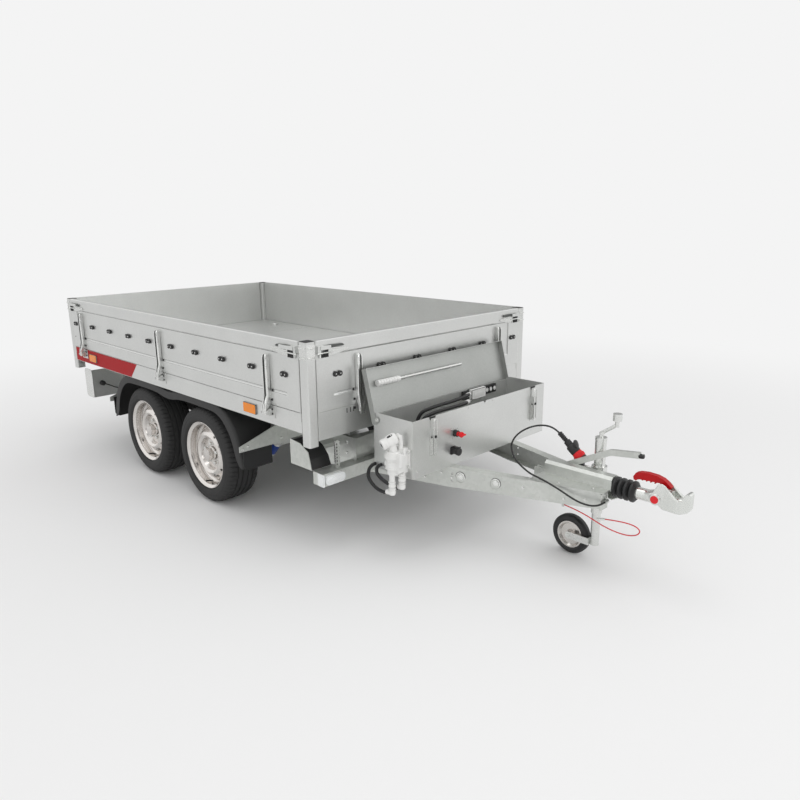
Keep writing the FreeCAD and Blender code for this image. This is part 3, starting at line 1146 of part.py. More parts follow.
# Hand over
os.makedirs("parts", exist_ok=True)
loose = ("power_cable", "power_plug", "plug_holder", "breakaway_rope", "carabiner")
body = Part.makeCompound([shape for name, shape in pieces.items() if name not in loose]).BoundBox
middle_x = (body.XMin + body.XMax) / 2
for name, shape in pieces.items():
    shape.translate(V(-middle_x, 0, 0))
    shape.exportStep("parts/" + name + ".step")
bounds = Part.makeCompound(list(pieces.values())).BoundBox
print("pieces", len(pieces), "solids", sum(len(s.Solids) for s in pieces.values()))
print("box", bounds)
print("shift", -middle_x)
print("barrel swing", math.degrees(swing), "stage travel", travel / STAGES)
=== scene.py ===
import bpy
import bmesh
import math
from mathutils import Matrix, Vector


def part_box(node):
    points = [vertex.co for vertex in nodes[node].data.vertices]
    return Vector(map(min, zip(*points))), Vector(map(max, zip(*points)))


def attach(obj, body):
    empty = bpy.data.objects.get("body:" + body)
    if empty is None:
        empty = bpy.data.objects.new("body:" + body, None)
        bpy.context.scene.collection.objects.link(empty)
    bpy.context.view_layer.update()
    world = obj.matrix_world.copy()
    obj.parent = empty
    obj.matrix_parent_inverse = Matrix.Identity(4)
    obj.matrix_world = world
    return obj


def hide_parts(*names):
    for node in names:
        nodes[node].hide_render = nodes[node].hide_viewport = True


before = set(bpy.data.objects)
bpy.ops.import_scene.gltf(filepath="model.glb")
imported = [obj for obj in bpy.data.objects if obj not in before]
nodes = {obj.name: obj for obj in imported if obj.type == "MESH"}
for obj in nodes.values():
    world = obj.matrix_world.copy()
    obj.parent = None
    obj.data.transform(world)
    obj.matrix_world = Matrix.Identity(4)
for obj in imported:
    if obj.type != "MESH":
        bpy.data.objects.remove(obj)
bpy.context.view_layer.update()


# The place from which the trailer is measured: the front face of the tipping bed,
# the centre line and the ground. Lengths below are real millimetres from there.
bed_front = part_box("corner_posts")[1].x


def spot(x, y, z):
    return Vector((bed_front + x / 1000, y / 1000, z / 1000))


# Camera: stands off the front right corner, a little above the top of the sides.
# Its place and lens are those that put the bed, wheels and coupling where they show.
photo_width = 800
focal_pixels = 702.88
camera_place = spot(2309.4, -2552.6, 1488.0)
turned_left, tipped_down, rolled = math.radians(44.785), math.radians(14.583), math.radians(-0.524)
camera_data = bpy.data.cameras.new("camera")
camera_data.sensor_width = 36.0
camera_data.lens = focal_pixels / photo_width * camera_data.sensor_width
camera_data.clip_end = 200.0
camera = bpy.data.objects.new("camera", camera_data)
camera.matrix_world = (Matrix.Translation(camera_place) @ Matrix.Rotation(turned_left, 4, "Z")
                       @ Matrix.Rotation(math.pi / 2 - tipped_down, 4, "X") @ Matrix.Rotation(rolled, 4, "Z"))
bpy.context.scene.collection.objects.link(camera)
bpy.context.scene.camera = camera


# Studio: a pale floor that fades into an even pale surround, lit by a broad soft
# ceiling light and two more in front. Bright metal mirrors darker panels in the corners
# of the room, which gives it its streaks.
def colour(hex_text):
    """A colour written as sRGB hex, as the linear values that shaders want."""
    channels = [int(hex_text[i:i + 2], 16) / 255 for i in (1, 3, 5)]
    linear = [c / 12.92 if c <= 0.04045 else ((c + 0.055) / 1.055) ** 2.4 for c in channels]
    return (*linear, 1.0)


def add_node(tree, kind, settings=None, **links):
    """A shader or geometry node with its settings, and sockets given values or linked outputs."""
    new = tree.nodes.new(kind)
    for key, value in (settings or {}).items():
        setattr(new, key, value)
    for key, value in links.items():
        name = key.replace("_", " ")
        number = name.rsplit(" ", 1)[-1]
        if name.startswith("input ") and number.isdigit():
            socket = new.inputs[int(number)]
        else:
            socket = new.inputs[name]
        if isinstance(value, bpy.types.NodeSocket):
            tree.links.new(value, socket)
        else:
            socket.default_value = value
    return new


world = bpy.data.worlds.new("studio")
bpy.context.scene.world = world
world.use_nodes = True
sky = world.node_tree
sky.nodes.clear()
rays = add_node(sky, "ShaderNodeLightPath")
towards = add_node(sky, "ShaderNodeTexCoord")
heading = add_node(sky, "ShaderNodeSeparateXYZ", Vector=towards.outputs["Generated"])
corner = add_node(sky, "ShaderNodeMath", {"operation": "MULTIPLY"}, input_0=heading.outputs[0],
                  input_1=heading.outputs[1])
panels = add_node(sky, "ShaderNodeMapRange", Value=corner.outputs[0], From_Min=-0.42, From_Max=0.06,
                  To_Min=0.3, To_Max=1.06)
soft = add_node(sky, "ShaderNodeBackground", Color=colour("#ffffff"), Strength=0.86)
plain = add_node(sky, "ShaderNodeBackground", Color=colour("#f4f4f4"), Strength=1.0)
mirrored = add_node(sky, "ShaderNodeBackground", Color=colour("#ffffff"), Strength=panels.outputs[0])
unseen = add_node(sky, "ShaderNodeMixShader", input_0=rays.outputs["Is Glossy Ray"], input_1=soft.outputs[0],
                  input_2=mirrored.outputs[0])
both = add_node(sky, "ShaderNodeMixShader", input_0=rays.outputs["Is Camera Ray"], input_1=unseen.outputs[0],
                input_2=plain.outputs[0])
add_node(sky, "ShaderNodeOutputWorld", Surface=both.outputs[0])

floor_mesh = bpy.data.meshes.new("studio_floor")
floor_shape = bmesh.new()
bmesh.ops.create_circle(floor_shape, cap_ends=True, segments=96, radius=60.0)
floor_shape.to_mesh(floor_mesh)
floor_shape.free()
studio_floor = bpy.data.objects.new("studio_floor", floor_mesh)
bpy.context.scene.collection.objects.link(studio_floor)
floor_paint = bpy.data.materials.new("studio_floor")
floor_paint.use_nodes = True
tree = floor_paint.node_tree
tree.nodes.clear()
place = add_node(tree, "ShaderNodeTexCoord")
distance = add_node(tree, "ShaderNodeVectorMath", {"operation": "LENGTH"}, input_0=place.outputs["Object"])
fade = add_node(tree, "ShaderNodeMapRange", {"interpolation_type": "SMOOTHSTEP"},
                Value=distance.outputs["Value"], From_Min=1.8, From_Max=6.0)
rays = add_node(tree, "ShaderNodeLightPath")
shown = add_node(tree, "ShaderNodeMath", {"operation": "MULTIPLY"}, input_0=fade.outputs["Result"],
                 input_1=rays.outputs["Is Camera Ray"])
paint = add_node(tree, "ShaderNodeBsdfDiffuse", Color=colour("#eeeeee"))
glow = add_node(tree, "ShaderNodeEmission", Color=colour("#f4f4f4"), Strength=1.0)
mixed = add_node(tree, "ShaderNodeMixShader", input_0=shown.outputs[0], input_1=paint.outputs[0],
                 input_2=glow.outputs[0])
add_node(tree, "ShaderNodeOutputMaterial", Surface=mixed.outputs[0])
floor_mesh.materials.append(floor_paint)


def soft_light(name, centre, aim, size, power):
    """A round soft lamp, its size in metres and its power in watts, aimed at a point."""
    data = bpy.data.lights.new(name, "AREA")
    data.shape = "DISK"
    data.size = size
    data.energy = power
    lamp = bpy.data.objects.new(name, data)
    lamp.location = centre
    lamp.rotation_euler = (Vector(aim) - Vector(centre)).to_track_quat("-Z", "Y").to_euler()
    bpy.context.scene.collection.objects.link(lamp)


soft_light("ceiling_light", (0.6, -0.8, 5.2), (-0.1, 0.0, 0.3), 3.4, 34)
soft_light("front_light", (5.2, -4.4, 3.4), (0.0, 0.0, 0.5), 3.0, 30)
soft_light("nose_light", (6.4, 1.4, 2.6), (0.6, 0.0, 0.6), 2.4, 34)
bpy.context.scene.view_settings.view_transform = "Standard"


# Chassis and drawbar: rails, cross members and two slanting beams of rolled steel section,
# welded and then dipped in molten zinc. Plated bolts hold the axles, box and housing, and
# domed plugs close the lightening holes in the beams.
def new_material(name):
    """A material with a Principled shader, returned with its tree and shader."""
    made = bpy.data.materials.new(name)
    made.use_nodes = True
    grown = made.node_tree
    return made, grown, grown.nodes["Principled BSDF"]


def zinc(name, tone, dark, spangle_mm, rough, metal, grain_mm):
    """Zinc-coated steel: crystals of one size, a cloudy bloom, and a slight orange-peel bump."""
    made, grown, shader = new_material(name)
    where = add_node(grown, "ShaderNodeTexCoord").outputs["Object"]
    crystals = add_node(grown, "ShaderNodeTexVoronoi", {"feature": "F1"}, Vector=where,
                        Scale=1000 / spangle_mm, Randomness=1.0)
    tint = add_node(grown, "ShaderNodeSeparateColor", Color=crystals.outputs["Color"])
    clouds = add_node(grown, "ShaderNodeTexNoise", Vector=where, Scale=1000 / 160, Detail=4.0)
    share = add_node(grown, "ShaderNodeMath", {"operation": "MULTIPLY_ADD"}, input_0=tint.outputs[0],
                     input_1=0.35, input_2=clouds.outputs[0])
    spread = add_node(grown, "ShaderNodeMapRange", Value=share.outputs[0], From_Min=0.3, From_Max=1.0)
    shade = add_node(grown, "ShaderNodeMix", {"data_type": "RGBA"}, input_0=spread.outputs[0],
                     input_6=colour(dark), input_7=colour(tone))
    grown.links.new(shade.outputs[2], shader.inputs["Base Color"])
    gloss = add_node(grown, "ShaderNodeMapRange", Value=tint.outputs[1],
                     To_Min=rough - 0.05, To_Max=rough + 0.06)
    grown.links.new(gloss.outputs[0], shader.inputs["Roughness"])
    peel = add_node(grown, "ShaderNodeTexNoise", Vector=where, Scale=1000 / grain_mm, Detail=3.0)
    bump = add_node(grown, "ShaderNodeBump", Strength=0.02, Distance=0.0003, Height=peel.outputs[0])
    grown.links.new(bump.outputs[0], shader.inputs["Normal"])
    shader.inputs["Metallic"].default_value = metal
    return made


def finish_nodes(material, *names):
    """The named solids' own meshes given their finish."""
    for name in names:
        mesh = nodes[name].data
        mesh.materials.clear()
        mesh.materials.append(material)


# Hot-dip zinc: a pale grey skin with broad soft crystals and a satin, slightly uneven gloss
dipped_zinc = zinc("hot_dip_zinc", "#d3d5d1", "#c3c6c1", 14.0, 0.36, 0.75, 6.0)
finish_nodes(dipped_zinc, "chassis_rail_left", "chassis_rail_right", "cross_members",
             "drawbar_beam_left", "drawbar_beam_right")
# Bright zinc plate: bolts, rods and tubes mirror the room in a fine, nearly white gloss
plated_zinc = zinc("bright_zinc_plate", "#e4e5e3", "#d8d9d6", 1.2, 0.24, 0.9, 0.8)

# Shapes are drawn in millimetres in a piece's own place, where Z points away from the
# surface that it is fixed to and Y points up.
MM = Matrix.Scale(0.001, 4)
OUT_RIGHT, OUT_LEFT, OUT_FRONT, OUT_REAR = (0, -1, 0), (0, 1, 0), (1, 0, 0), (-1, 0, 0)
UP = (0, 0, 1)
SIDES = (("right", -1, OUT_RIGHT), ("left", 1, OUT_LEFT))


def turned(shape, profile, steps=24, place=Matrix.Identity(4)):
    """A profile of (radius, height) points turned about Z; a radius of 0 closes the end."""
    rings = []
    for radius, height in profile:
        if radius == 0:
            rings.append([shape.verts.new(place @ Vector((0, 0, height)))])
            continue
        ring = []
        for k in range(steps):
            angle = 2 * math.pi * k / steps
            corner = Vector((radius * math.cos(angle), radius * math.sin(angle), height))
            ring.append(shape.verts.new(place @ corner))
        rings.append(ring)
    for low, high in zip(rings, rings[1:]):
        for k in range(steps):
            corners = [low[k % len(low)], low[(k + 1) % len(low)],
                       high[(k + 1) % len(high)], high[k % len(high)]]
            unique = [v for n, v in enumerate(corners) if v not in corners[:n]]
            if len(unique) > 2:
                shape.faces.new(unique)


def prism(shape, outline, low, high, place=Matrix.Identity(4)):
    """An outline of (x, y) points made solid from one height to another."""
    floor_ring = [shape.verts.new(place @ Vector((x, y, low))) for x, y in outline]
    roof_ring = [shape.verts.new(place @ Vector((x, y, high))) for x, y in outline]
    shape.faces.new(list(reversed(floor_ring)))
    shape.faces.new(roof_ring)
    for k in range(len(outline)):
        n = (k + 1) % len(outline)
        shape.faces.new([floor_ring[k], floor_ring[n], roof_ring[n], roof_ring[k]])


def settle(made):
    """The object's modifiers worked into a plain mesh of its own."""
    evaluated = made.evaluated_get(bpy.context.evaluated_depsgraph_get())
    plain_mesh = bpy.data.meshes.new_from_object(evaluated)
    made.modifiers.clear()
    made.data = plain_mesh


def made_object(name, shape, material, bevel_mm=0.0, sharp_deg=35.0):
    """The object of a shape in metres, shaded smooth up to an angle, its edges eased."""
    bmesh.ops.recalc_face_normals(shape, faces=shape.faces)
    mesh = bpy.data.meshes.new(name)
    shape.to_mesh(mesh)
    shape.free()
    mesh.shade_smooth()
    mesh.set_sharp_from_angle(angle=math.radians(sharp_deg))
    mesh.materials.append(material)
    made = bpy.data.objects.new(name, mesh)
    bpy.context.scene.collection.objects.link(made)
    if bevel_mm:
        ease = made.modifiers.new("eased_edges", "BEVEL")
        ease.width = bevel_mm / 1000
        ease.segments = 2
        ease.limit_method = "ANGLE"
        ease.angle_limit = math.radians(sharp_deg)
        settle(made)
        made.data.name = name
    return made


def fitted(made, body):
    """The finished piece set on the body that it moves with."""
    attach(made, body)
    return made


def facing(origin, outward, up):
    """A place in metres whose Z points outward and whose Y points up, for shapes in millimetres."""
    z = Vector(outward).normalized()
    x = Vector(up).cross(z).normalized()
    y = z.cross(x)
    rotation = Matrix((x, y, z)).transposed().to_4x4()
    return Matrix.Translation(origin) @ rotation @ MM


# Repeated fittings are set by Geometry Nodes: one part, made once, on each marked
# place, turned to face out from its surface.
repeat_tree = bpy.data.node_groups.new("set_on_places", "GeometryNodeTree")
repeat_tree.interface.new_socket("Places", in_out="INPUT", socket_type="NodeSocketGeometry")
part_input = repeat_tree.interface.new_socket("Part", in_out="INPUT", socket_type="NodeSocketObject")
size_input = repeat_tree.interface.new_socket("Size", in_out="INPUT", socket_type="NodeSocketFloat")
finish_input = repeat_tree.interface.new_socket("Finish", in_out="INPUT", socket_type="NodeSocketMaterial")
repeat_tree.interface.new_socket("Set", in_out="OUTPUT", socket_type="NodeSocketGeometry")
given = add_node(repeat_tree, "NodeGroupInput")
away = add_node(repeat_tree, "GeometryNodeInputNamedAttribute", {"data_type": "FLOAT_VECTOR"},
                Name="outward")
upward = add_node(repeat_tree, "GeometryNodeInputNamedAttribute", {"data_type": "FLOAT_VECTOR"},
                  Name="upward")
faced = add_node(repeat_tree, "FunctionNodeAlignRotationToVector", {"axis": "Z"}, Vector=away.outputs[0])
settled = add_node(repeat_tree, "FunctionNodeAlignRotationToVector", {"axis": "Y", "pivot_axis": "Z"},
                   Rotation=faced.outputs[0], Vector=upward.outputs[0])
part_info = add_node(repeat_tree, "GeometryNodeObjectInfo", Object=given.outputs["Part"], As_Instance=True)
copies = add_node(repeat_tree, "GeometryNodeInstanceOnPoints", Points=given.outputs["Places"],
                  Instance=part_info.outputs["Geometry"], Rotation=settled.outputs[0],
                  Scale=given.outputs["Size"])
joined = add_node(repeat_tree, "GeometryNodeRealizeInstances", Geometry=copies.outputs[0])
coated = add_node(repeat_tree, "GeometryNodeSetMaterial", Geometry=joined.outputs[0],
                  Material=given.outputs["Finish"])
add_node(repeat_tree, "NodeGroupOutput", Set=coated.outputs[0])


def set_of(name, part, places, material, body, size=1.0):
    """A mesh of one part on each place, given as (position, outward, up), riding on a body."""
    mesh = bpy.data.meshes.new(name)
    mesh.from_pydata([tuple(p) for p, _, _ in places], [], [])
    for key, column in (("outward", 1), ("upward", 2)):
        values = mesh.attributes.new(key, "FLOAT_VECTOR", "POINT")
        values.data.foreach_set("vector", [c for place in places for c in place[column]])
    made = bpy.data.objects.new(name, mesh)
    bpy.context.scene.collection.objects.link(made)
    modifier = made.modifiers.new("set", "NODES")
    modifier.node_group = repeat_tree
    modifier[part_input.identifier] = part
    modifier[size_input.identifier] = size
    modifier[finish_input.identifier] = material
    settle(made)
    fitted(made, body)


patterns = []


def pattern_part(name, shape, bevel_mm=0.0):
    """A part drawn in millimetres, for Geometry Nodes to copy. It is removed at the end."""
    bmesh.ops.transform(shape, matrix=MM, verts=shape.verts)
    made = made_object(name, shape, plated_zinc, bevel_mm)
    patterns.append(made)
    return made


def ring_places(count, radius, first_deg=0.0):
    """Evenly spaced (x, y) points on a circle."""
    angles = [math.radians(first_deg) + 2 * math.pi * k / count for k in range(count)]
    return [(radius * math.cos(angle), radius * math.sin(angle)) for angle in angles]


shape = bmesh.new()
turned(shape, [(0, 0), (9, 0), (9, 1.6), (7.4, 2.2), (7.4, 2.6), (0, 2.6)])
prism(shape, ring_places(6, 6.4), 2.6, 7.4)
hex_bolt = pattern_part("hex_bolt", shape, bevel_mm=0.5)
rail_face = 500.2
for side, sign, outward in SIDES:
    places = [(spot(x, sign * rail_face, z), outward, UP)
              for x in (-80, -330, -620, -860, -1520, -2080) for z in (418, 470)]
    set_of("rail_bolts_" + side, hex_bolt, places, plated_zinc, "chassis", size=0.8)


def smooth_finish(name, tone, rough, bump_mm, bump_share, coat=0.0, metal=0.0, specular=0.5):
    """Plastic, rubber or paint: one colour with slight unevenness, and a grain of one size."""
    made, grown, shader = new_material(name)
    where = add_node(grown, "ShaderNodeTexCoord").outputs["Object"]
    patches = add_node(grown, "ShaderNodeTexNoise", Vector=where, Scale=1000 / 60, Detail=5.0)
    value = add_node(grown, "ShaderNodeMapRange", Value=patches.outputs[0], To_Min=0.88, To_Max=1.1)
    shade = add_node(grown, "ShaderNodeHueSaturation", Value=value.outputs[0], Color=colour(tone))
    grown.links.new(shade.outputs[0], shader.inputs["Base Color"])
    gloss = add_node(grown, "ShaderNodeMapRange", Value=patches.outputs[0],
                     To_Min=rough - 0.06, To_Max=rough + 0.06)
    grown.links.new(gloss.outputs[0], shader.inputs["Roughness"])
    grain = add_node(grown, "ShaderNodeTexNoise", Vector=where, Scale=1000 / bump_mm, Detail=2.0)
    bump = add_node(grown, "ShaderNodeBump", Strength=bump_share, Distance=0.0005, Height=grain.outputs[0])
    grown.links.new(bump.outputs[0], shader.inputs["Normal"])
    shader.inputs["Specular IOR Level"].default_value = specular
    shader.inputs["Metallic"].default_value = metal
    shader.inputs["Coat Weight"].default_value = coat
    return made


# Drawn zinc: a nearly mirror-bright skin that stands out white beside the dipped steel
strap_zinc = zinc("drawn_zinc_strap", "#eeefed", "#e4e5e2", 1.2, 0.17, 0.92, 0.8)
# Dull zinc plate: dark grey and satin; in the plug grooves and the straps' sunk slopes it is painted shade
dull_zinc_groove_shade = smooth_finish("dull_zinc_and_painted_groove_shade", "#5d5f5d", 0.34, 0.8, 0.1, metal=0.8)
beam_slant = math.radians(15)
beam_tip, beam_tip_out = 1005, 85


def on_beam(along, height, sign, off=0.0):
    """A place on a beam's outer face, given back from its tip and off the face."""
    x = beam_tip - along * math.cos(beam_slant) + off * math.sin(beam_slant)
    return spot(x, sign * (beam_tip_out + along * math.sin(beam_slant) + off), height)


plug_places = (625, 352), (455, 352)
for side, sign, _ in SIDES:
    outward = (math.sin(beam_slant), sign * math.cos(beam_slant), 0)
    places = [(on_beam(along, height, sign, 0.2), outward, UP) for along, height in
              ((60, 352), (150, 340), (330, 356), (668, 340), (720, 358), (805, 321), (880, 350), (880, 318))]
    set_of("drawbar_bolts_" + side, hex_bolt, places, plated_zinc, "chassis", size=0.75)
    plugs, grooves = bmesh.new(), bmesh.new()
    for along, height in plug_places:
        place = facing(on_beam(along, height, sign), outward, UP)
        turned(plugs, [(0, 0.2), (22, 0.2), (22, 2.2), (20.6, 3.4), (17.4, 3.4), (16.0, 1.0), (14.6, 1.0),
                       (13, 3.8), (8, 5.4), (0, 5.9)], steps=40, place=place)
        # The dark rings in the plug's grooves are painted shade
        turned(grooves, [(14.4, 1.1), (17.6, 1.1), (17.6, 1.9), (14.4, 1.9)], steps=40, place=place)
        turned(grooves, [(22.1, 0.2), (24.4, 0.2), (24.4, 0.7), (22.1, 0.7)], steps=40, place=place)
    fitted(made_object("beam_plugs_" + side, plugs, strap_zinc), "chassis")
    fitted(made_object("beam_plug_grooves_" + side, grooves, dull_zinc_groove_shade), "chassis")


# Axles and dampers: two dipped steel axle tubes under the rails, each wheel with a plated
# damper that leans from its arm to the rail, in a white sleeve with a blue band.
finish_nodes(dipped_zinc, "axle_front", "axle_rear")
finish_nodes(plated_zinc, "shock_absorbers")
# White powder coat: an even, slightly rough white with a soft sheen
white_coat = smooth_finish("white_powder_coat", "#e6e6e4", 0.42, 0.7, 0.12, coat=0.1)
# Blue damper paint: deep and glossy, seen as a small spot of colour between the wheels
blue_paint = smooth_finish("blue_damper_paint", "#23408f", 0.35, 0.8, 0.05, coat=0.2)
wheel_places = {"front": -954.0, "rear": -1613.0}
for end, x in wheel_places.items():
    for side, sign, _ in SIDES:
        low, high = Vector((x + 190, sign * 472, 236.5)), Vector((x + 310, sign * 472, 368))
        place = facing(spot(*low), high - low, (0, 1, 0))
        shape = bmesh.new()
        turned(shape, [(9.2, 30), (19, 30.5), (22.2, 33), (22.2, 121), (20, 123.5), (9.2, 124)], steps=36,
               place=place)
        turned(shape, [(9.2, 126), (17, 126), (18, 128), (18, 152), (16, 154), (9.2, 154)], steps=36,
               place=place)
        fitted(made_object("damper_sleeve_%s_%s" % (end, side), shape, white_coat), "chassis")
        shape = bmesh.new()
        turned(shape, [(22.2, 38), (23.0, 38.6), (23.0, 113.4), (22.2, 114)], steps=36, place=place)
        fitted(made_object("damper_band_%s_%s" % (end, side), shape, blue_paint), "chassis")


# Tyres: black road tyres with four grooves round the tread, cross cuts in the shoulders
# and rings on the side walls, each within its solid, for which it stands in.

# Tyre rubber: a dull charcoal that keeps its grooves dark
tyre_rubber = smooth_finish("tyre_rubber", "#303030", 0.78, 1.5, 0.25)
# Each point of half the section: across from the middle, radius, and how deep a cut goes
tread = [
    (0, 262.3, 0), (10, 262.2, 0), (11.5, 255.6, 0), (19.5, 255.6, 0), (21, 262.1, 0),
    (30, 262.0, 1.2), (39.5, 261.9, 0), (41, 255.2, 0), (49, 255.0, 0), (50.5, 261.5, 4.0),
    (60, 260.4, 5.0), (70, 258.0, 5.0), (77.5, 255.6, 5.0), (84, 249.4, 4.0), (88.5, 243.0, 2.5),
    (91.8, 236.0, 0), (93.2, 232.5, 0), (92.4, 230.5, 0), (95.0, 226.0, 0), (96.8, 219.0, 0),
    (97.3, 213.0, 0), (96.3, 210.5, 0), (97.1, 207.0, 0), (95.6, 198.0, 0), (93.4, 193.0, 0),
    (90.6, 189.6, 0), (90.9, 188.6, 0), (87.0, 186.6, 0), (82.0, 183.6, 0), (78.5, 177.0, 0),
    (74.2, 169.7, 0), (62.2, 168.5, 0), (71.5, 199.0, 0), (79.0, 228.0, 0), (40, 244.0, 0)]
tread_steps = 300
tread_pitch = 5


def tyre_piece(name, centre, outward, body):
    """The tread's section carried round the wheel, lower where a cut crosses it."""
    shape = bmesh.new()
    place = facing(centre, outward, UP)
    inner = [(-across, radius, cut) for across, radius, cut in tread[1:]]
    section = list(reversed(inner)) + tread
    rings = []
    for k in range(tread_steps):
        angle = 2 * math.pi * k / tread_steps
        ring = []
        for across, radius, cut in section:
            shifted = k + (2 if across > 0 else 0)
            depth = cut if shifted % tread_pitch == 0 else 0
            reach = radius - depth
            corner = Vector((reach * math.cos(angle), reach * math.sin(angle), across))
            ring.append(shape.verts.new(place @ corner))
        rings.append(ring)
    count = len(section)
    for k in range(tread_steps):
        here, following = rings[k], rings[(k + 1) % tread_steps]
        for n in range(count):
            m = (n + 1) % count
            shape.faces.new([here[n], here[m], following[m], following[n]])
    return fitted(made_object(name, shape, tyre_rubber, sharp_deg=28.0), body)


wheel_height = 262.5
wheel_out = 670.0
for end, x in wheel_places.items():
    for side, sign, outward in SIDES:
        body = "wheel_%s_%s" % (end, side)
        centre = spot(x, sign * wheel_out, wheel_height)
        tyre = tyre_piece("tyre_tread_%s_%s" % (end, side), centre, outward, body)
        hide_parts("tyre_%s_%s" % (end, side))


# Wheels: pressed steel discs in rolled rims, sprayed silver, with a bright rolled edge and
# stepped barrel, a pressed cap over the bearing, five chamfered bolts on washers, hand
# holes drawn as flat black inlays that are painted shade inside them, and a rubber valve.

# Silver wheel paint: bright metal flake with a clear gloss over it
wheel_silver = smooth_finish("silver_wheel_paint", "#dedad6", 0.2, 0.6, 0.05, coat=0.3, metal=0.92)
finish_nodes(wheel_silver, "rim_front_left", "rim_front_right", "rim_rear_left", "rim_rear_right")
# Moulded black plastic: a very dark grey with a fine matt grain
moulded_black = smooth_finish("moulded_black_plastic", "#262626", 0.55, 0.9, 0.2)
# Soft black rubber: nearly black, with a soft wide shine
soft_rubber = smooth_finish("soft_black_rubber", "#1b1b1c", 0.46, 1.2, 0.12)


def bent_rod(shape, points, radius, steps=10, place=Matrix.Identity(4)):
    """A round rod along points, with its corners mitred and its ends closed."""
    path = [Vector(p) for p in points]
    rings = []
    side = None
    for k, here in enumerate(path):
        before = (here - path[k - 1]).normalized() if k else (path[1] - here).normalized()
        after = (path[k + 1] - here).normalized() if k < len(path) - 1 else before
        along = (before + after).normalized()
        if side is None:
            side = along.orthogonal().normalized()
        side = (side - along * side.dot(along)).normalized()
        up = along.cross(side)
        stretch = 1 / max(0.5, along.dot(before))
        ring = []
        for n in range(steps):
            angle = 2 * math.pi * n / steps
            offset = side * math.cos(angle) + up * math.sin(angle)
            bend = after - before
            if bend.length > 1e-6:
                across = bend.normalized()
                offset += across * offset.dot(across) * (stretch - 1)
            ring.append(shape.verts.new(place @ (here + offset * radius)))
        rings.append(ring)
    for low, high in zip(rings, rings[1:]):
        for n in range(steps):
            shape.faces.new([low[n], low[(n + 1) % steps], high[(n + 1) % steps], high[n]])
    shape.faces.new(list(reversed(rings[0])))
    shape.faces.new(rings[-1])


bolt_circle = 56.0
bolt_seat = 34.0
shape = bmesh.new()
turned(shape, [(0, 0), (12.5, 0), (12.5, 2.4), (10.5, 3.4), (0, 3.4)])
prism(shape, ring_places(6, 9.6, first_deg=30), 3.4, 15.5)
turned(shape, [(8.9, 15.4), (7.6, 17.6), (4.5, 18.6), (0, 18.8)], steps=18)
wheel_bolt = pattern_part("wheel_bolt", shape)
for end, x in wheel_places.items():
    for side, sign, outward in SIDES:
        body = "wheel_%s_%s" % (end, side)
        place = facing(spot(x, sign * wheel_out, wheel_height), outward, UP)
        shape = bmesh.new()
        turned(shape, [(25.5, 76.0), (31.0, 75.0), (32.6, 71.0), (32.8, 46.0), (36.5, 44.0), (38.0, 41.0),
                       (38.0, 38.0), (32.0, 36.5)], steps=48, place=place)
        turned(shape, [(0, 78.4), (9.0, 78.1), (17.0, 77.4), (24.0, 75.9), (25.6, 76.2)], steps=48,
               place=place)
        turned(shape, [(182.0, 79.0), (183.4, 82.5), (182.6, 86.4), (180.0, 87.2), (177.8, 85.0),
                       (177.0, 80.0), (172.5, 77.6), (171.0, 74.0), (166.0, 71.0), (163.6, 66.0),
                       (162.8, 44.0), (160.0, 40.5), (160.4, 38.0)], steps=96, place=place)
        turned(shape, [(148.0, 24.0), (146.6, 21.0), (145.6, 18.0), (145.2, 8.0)], steps=96, place=place)
        made = made_object("wheel_trim_%s_%s" % (end, side), shape, wheel_silver)
        fitted(made, body)
        shape = bmesh.new()
        # The hand holes are flat black inlays: painted shade where the openings are
        slot = [(6.6 * x_share, 9.8 * y_share) for x_share, y_share in ring_places(18, 1.0)]
        for k in range(8):
            angle = (k // 2) * 90.0 + (14.0 if k % 2 else -14.0) + 45.0
            slot_place = (place @ Matrix.Rotation(math.radians(angle), 4, "Z")
                          @ Matrix.Translation((129, 0, 21.6)) @ Matrix.Rotation(math.radians(45), 4, "Y"))
            prism(shape, slot, -1, 1.0, slot_place)
        fitted(made_object("wheel_slots_%s_%s" % (end, side), shape, moulded_black), body)
        places = [(spot(x + across, sign * (wheel_out + bolt_seat), wheel_height + rise), outward, UP)
                  for across, rise in ring_places(5, bolt_circle, first_deg=90)]
        set_of("wheel_bolts_%s_%s" % (end, side), wheel_bolt, places, plated_zinc, body, size=1.05)
        shape = bmesh.new()
        bent_rod(shape, [(0, -157, 50), (0, -150, 62), (0, -146, 84)], 4.2, steps=12, place=place)
        bent_rod(shape, [(0, -146.3, 82), (0, -145, 88)], 5.2, steps=12, place=place)
        fitted(made_object("wheel_valve_%s_%s" % (end, side), shape, soft_rubber), body)


# Mudguards: black moulded plastic over both wheels of a side, a broad sheet with a rounded
# outer lip and a deep inner wall, low between the wheels. Bolted brackets of dipped steel
# carry it, and soft rubber flaps hang at both ends.
finish_nodes(dipped_zinc, "mudguard_brackets")


def eased_path(points, parts=6):
    """More points between the given ones, on a smooth curve through them all."""
    path = [Vector(p) for p in points]
    eased = []
    for k in range(len(path) - 1):
        a, b = path[max(k - 1, 0)], path[k]
        c, d = path[k + 1], path[min(k + 2, len(path) - 1)]
        for n in range(parts):
            t = n / parts
            eased.append(0.5 * (2 * b + (c - a) * t + (2 * a - 5 * b + 4 * c - d) * t * t
                                + (3 * b - a - 3 * c + d) * t * t * t))
    return eased + [path[-1]]


# Points from the middle of the arch line to its end: along, height, depth of the outer lip,
# depth of the inner wall, and how far out that wall stands
guard_out = 770.0
between_wheels = -1283.5
rise_points = [
    (727.5, 284.5, 14, 10, 598), (722, 305, 38, 12, 598), (712, 345, 52, 16, 598), (700, 390, 54, 24, 590),
    (678, 444, 54, 40, 560), (643, 496, 54, 60, 530), (594, 541, 52, 80, 526), (534, 570, 48, 100, 526),
    (462, 582.5, 46, 150, 526), (330, 583, 44, 208, 526), (190, 583, 44, 214, 526), (110, 578, 44, 209, 526),
    (50, 568, 44, 199, 526), (0, 564, 44, 195, 526)]


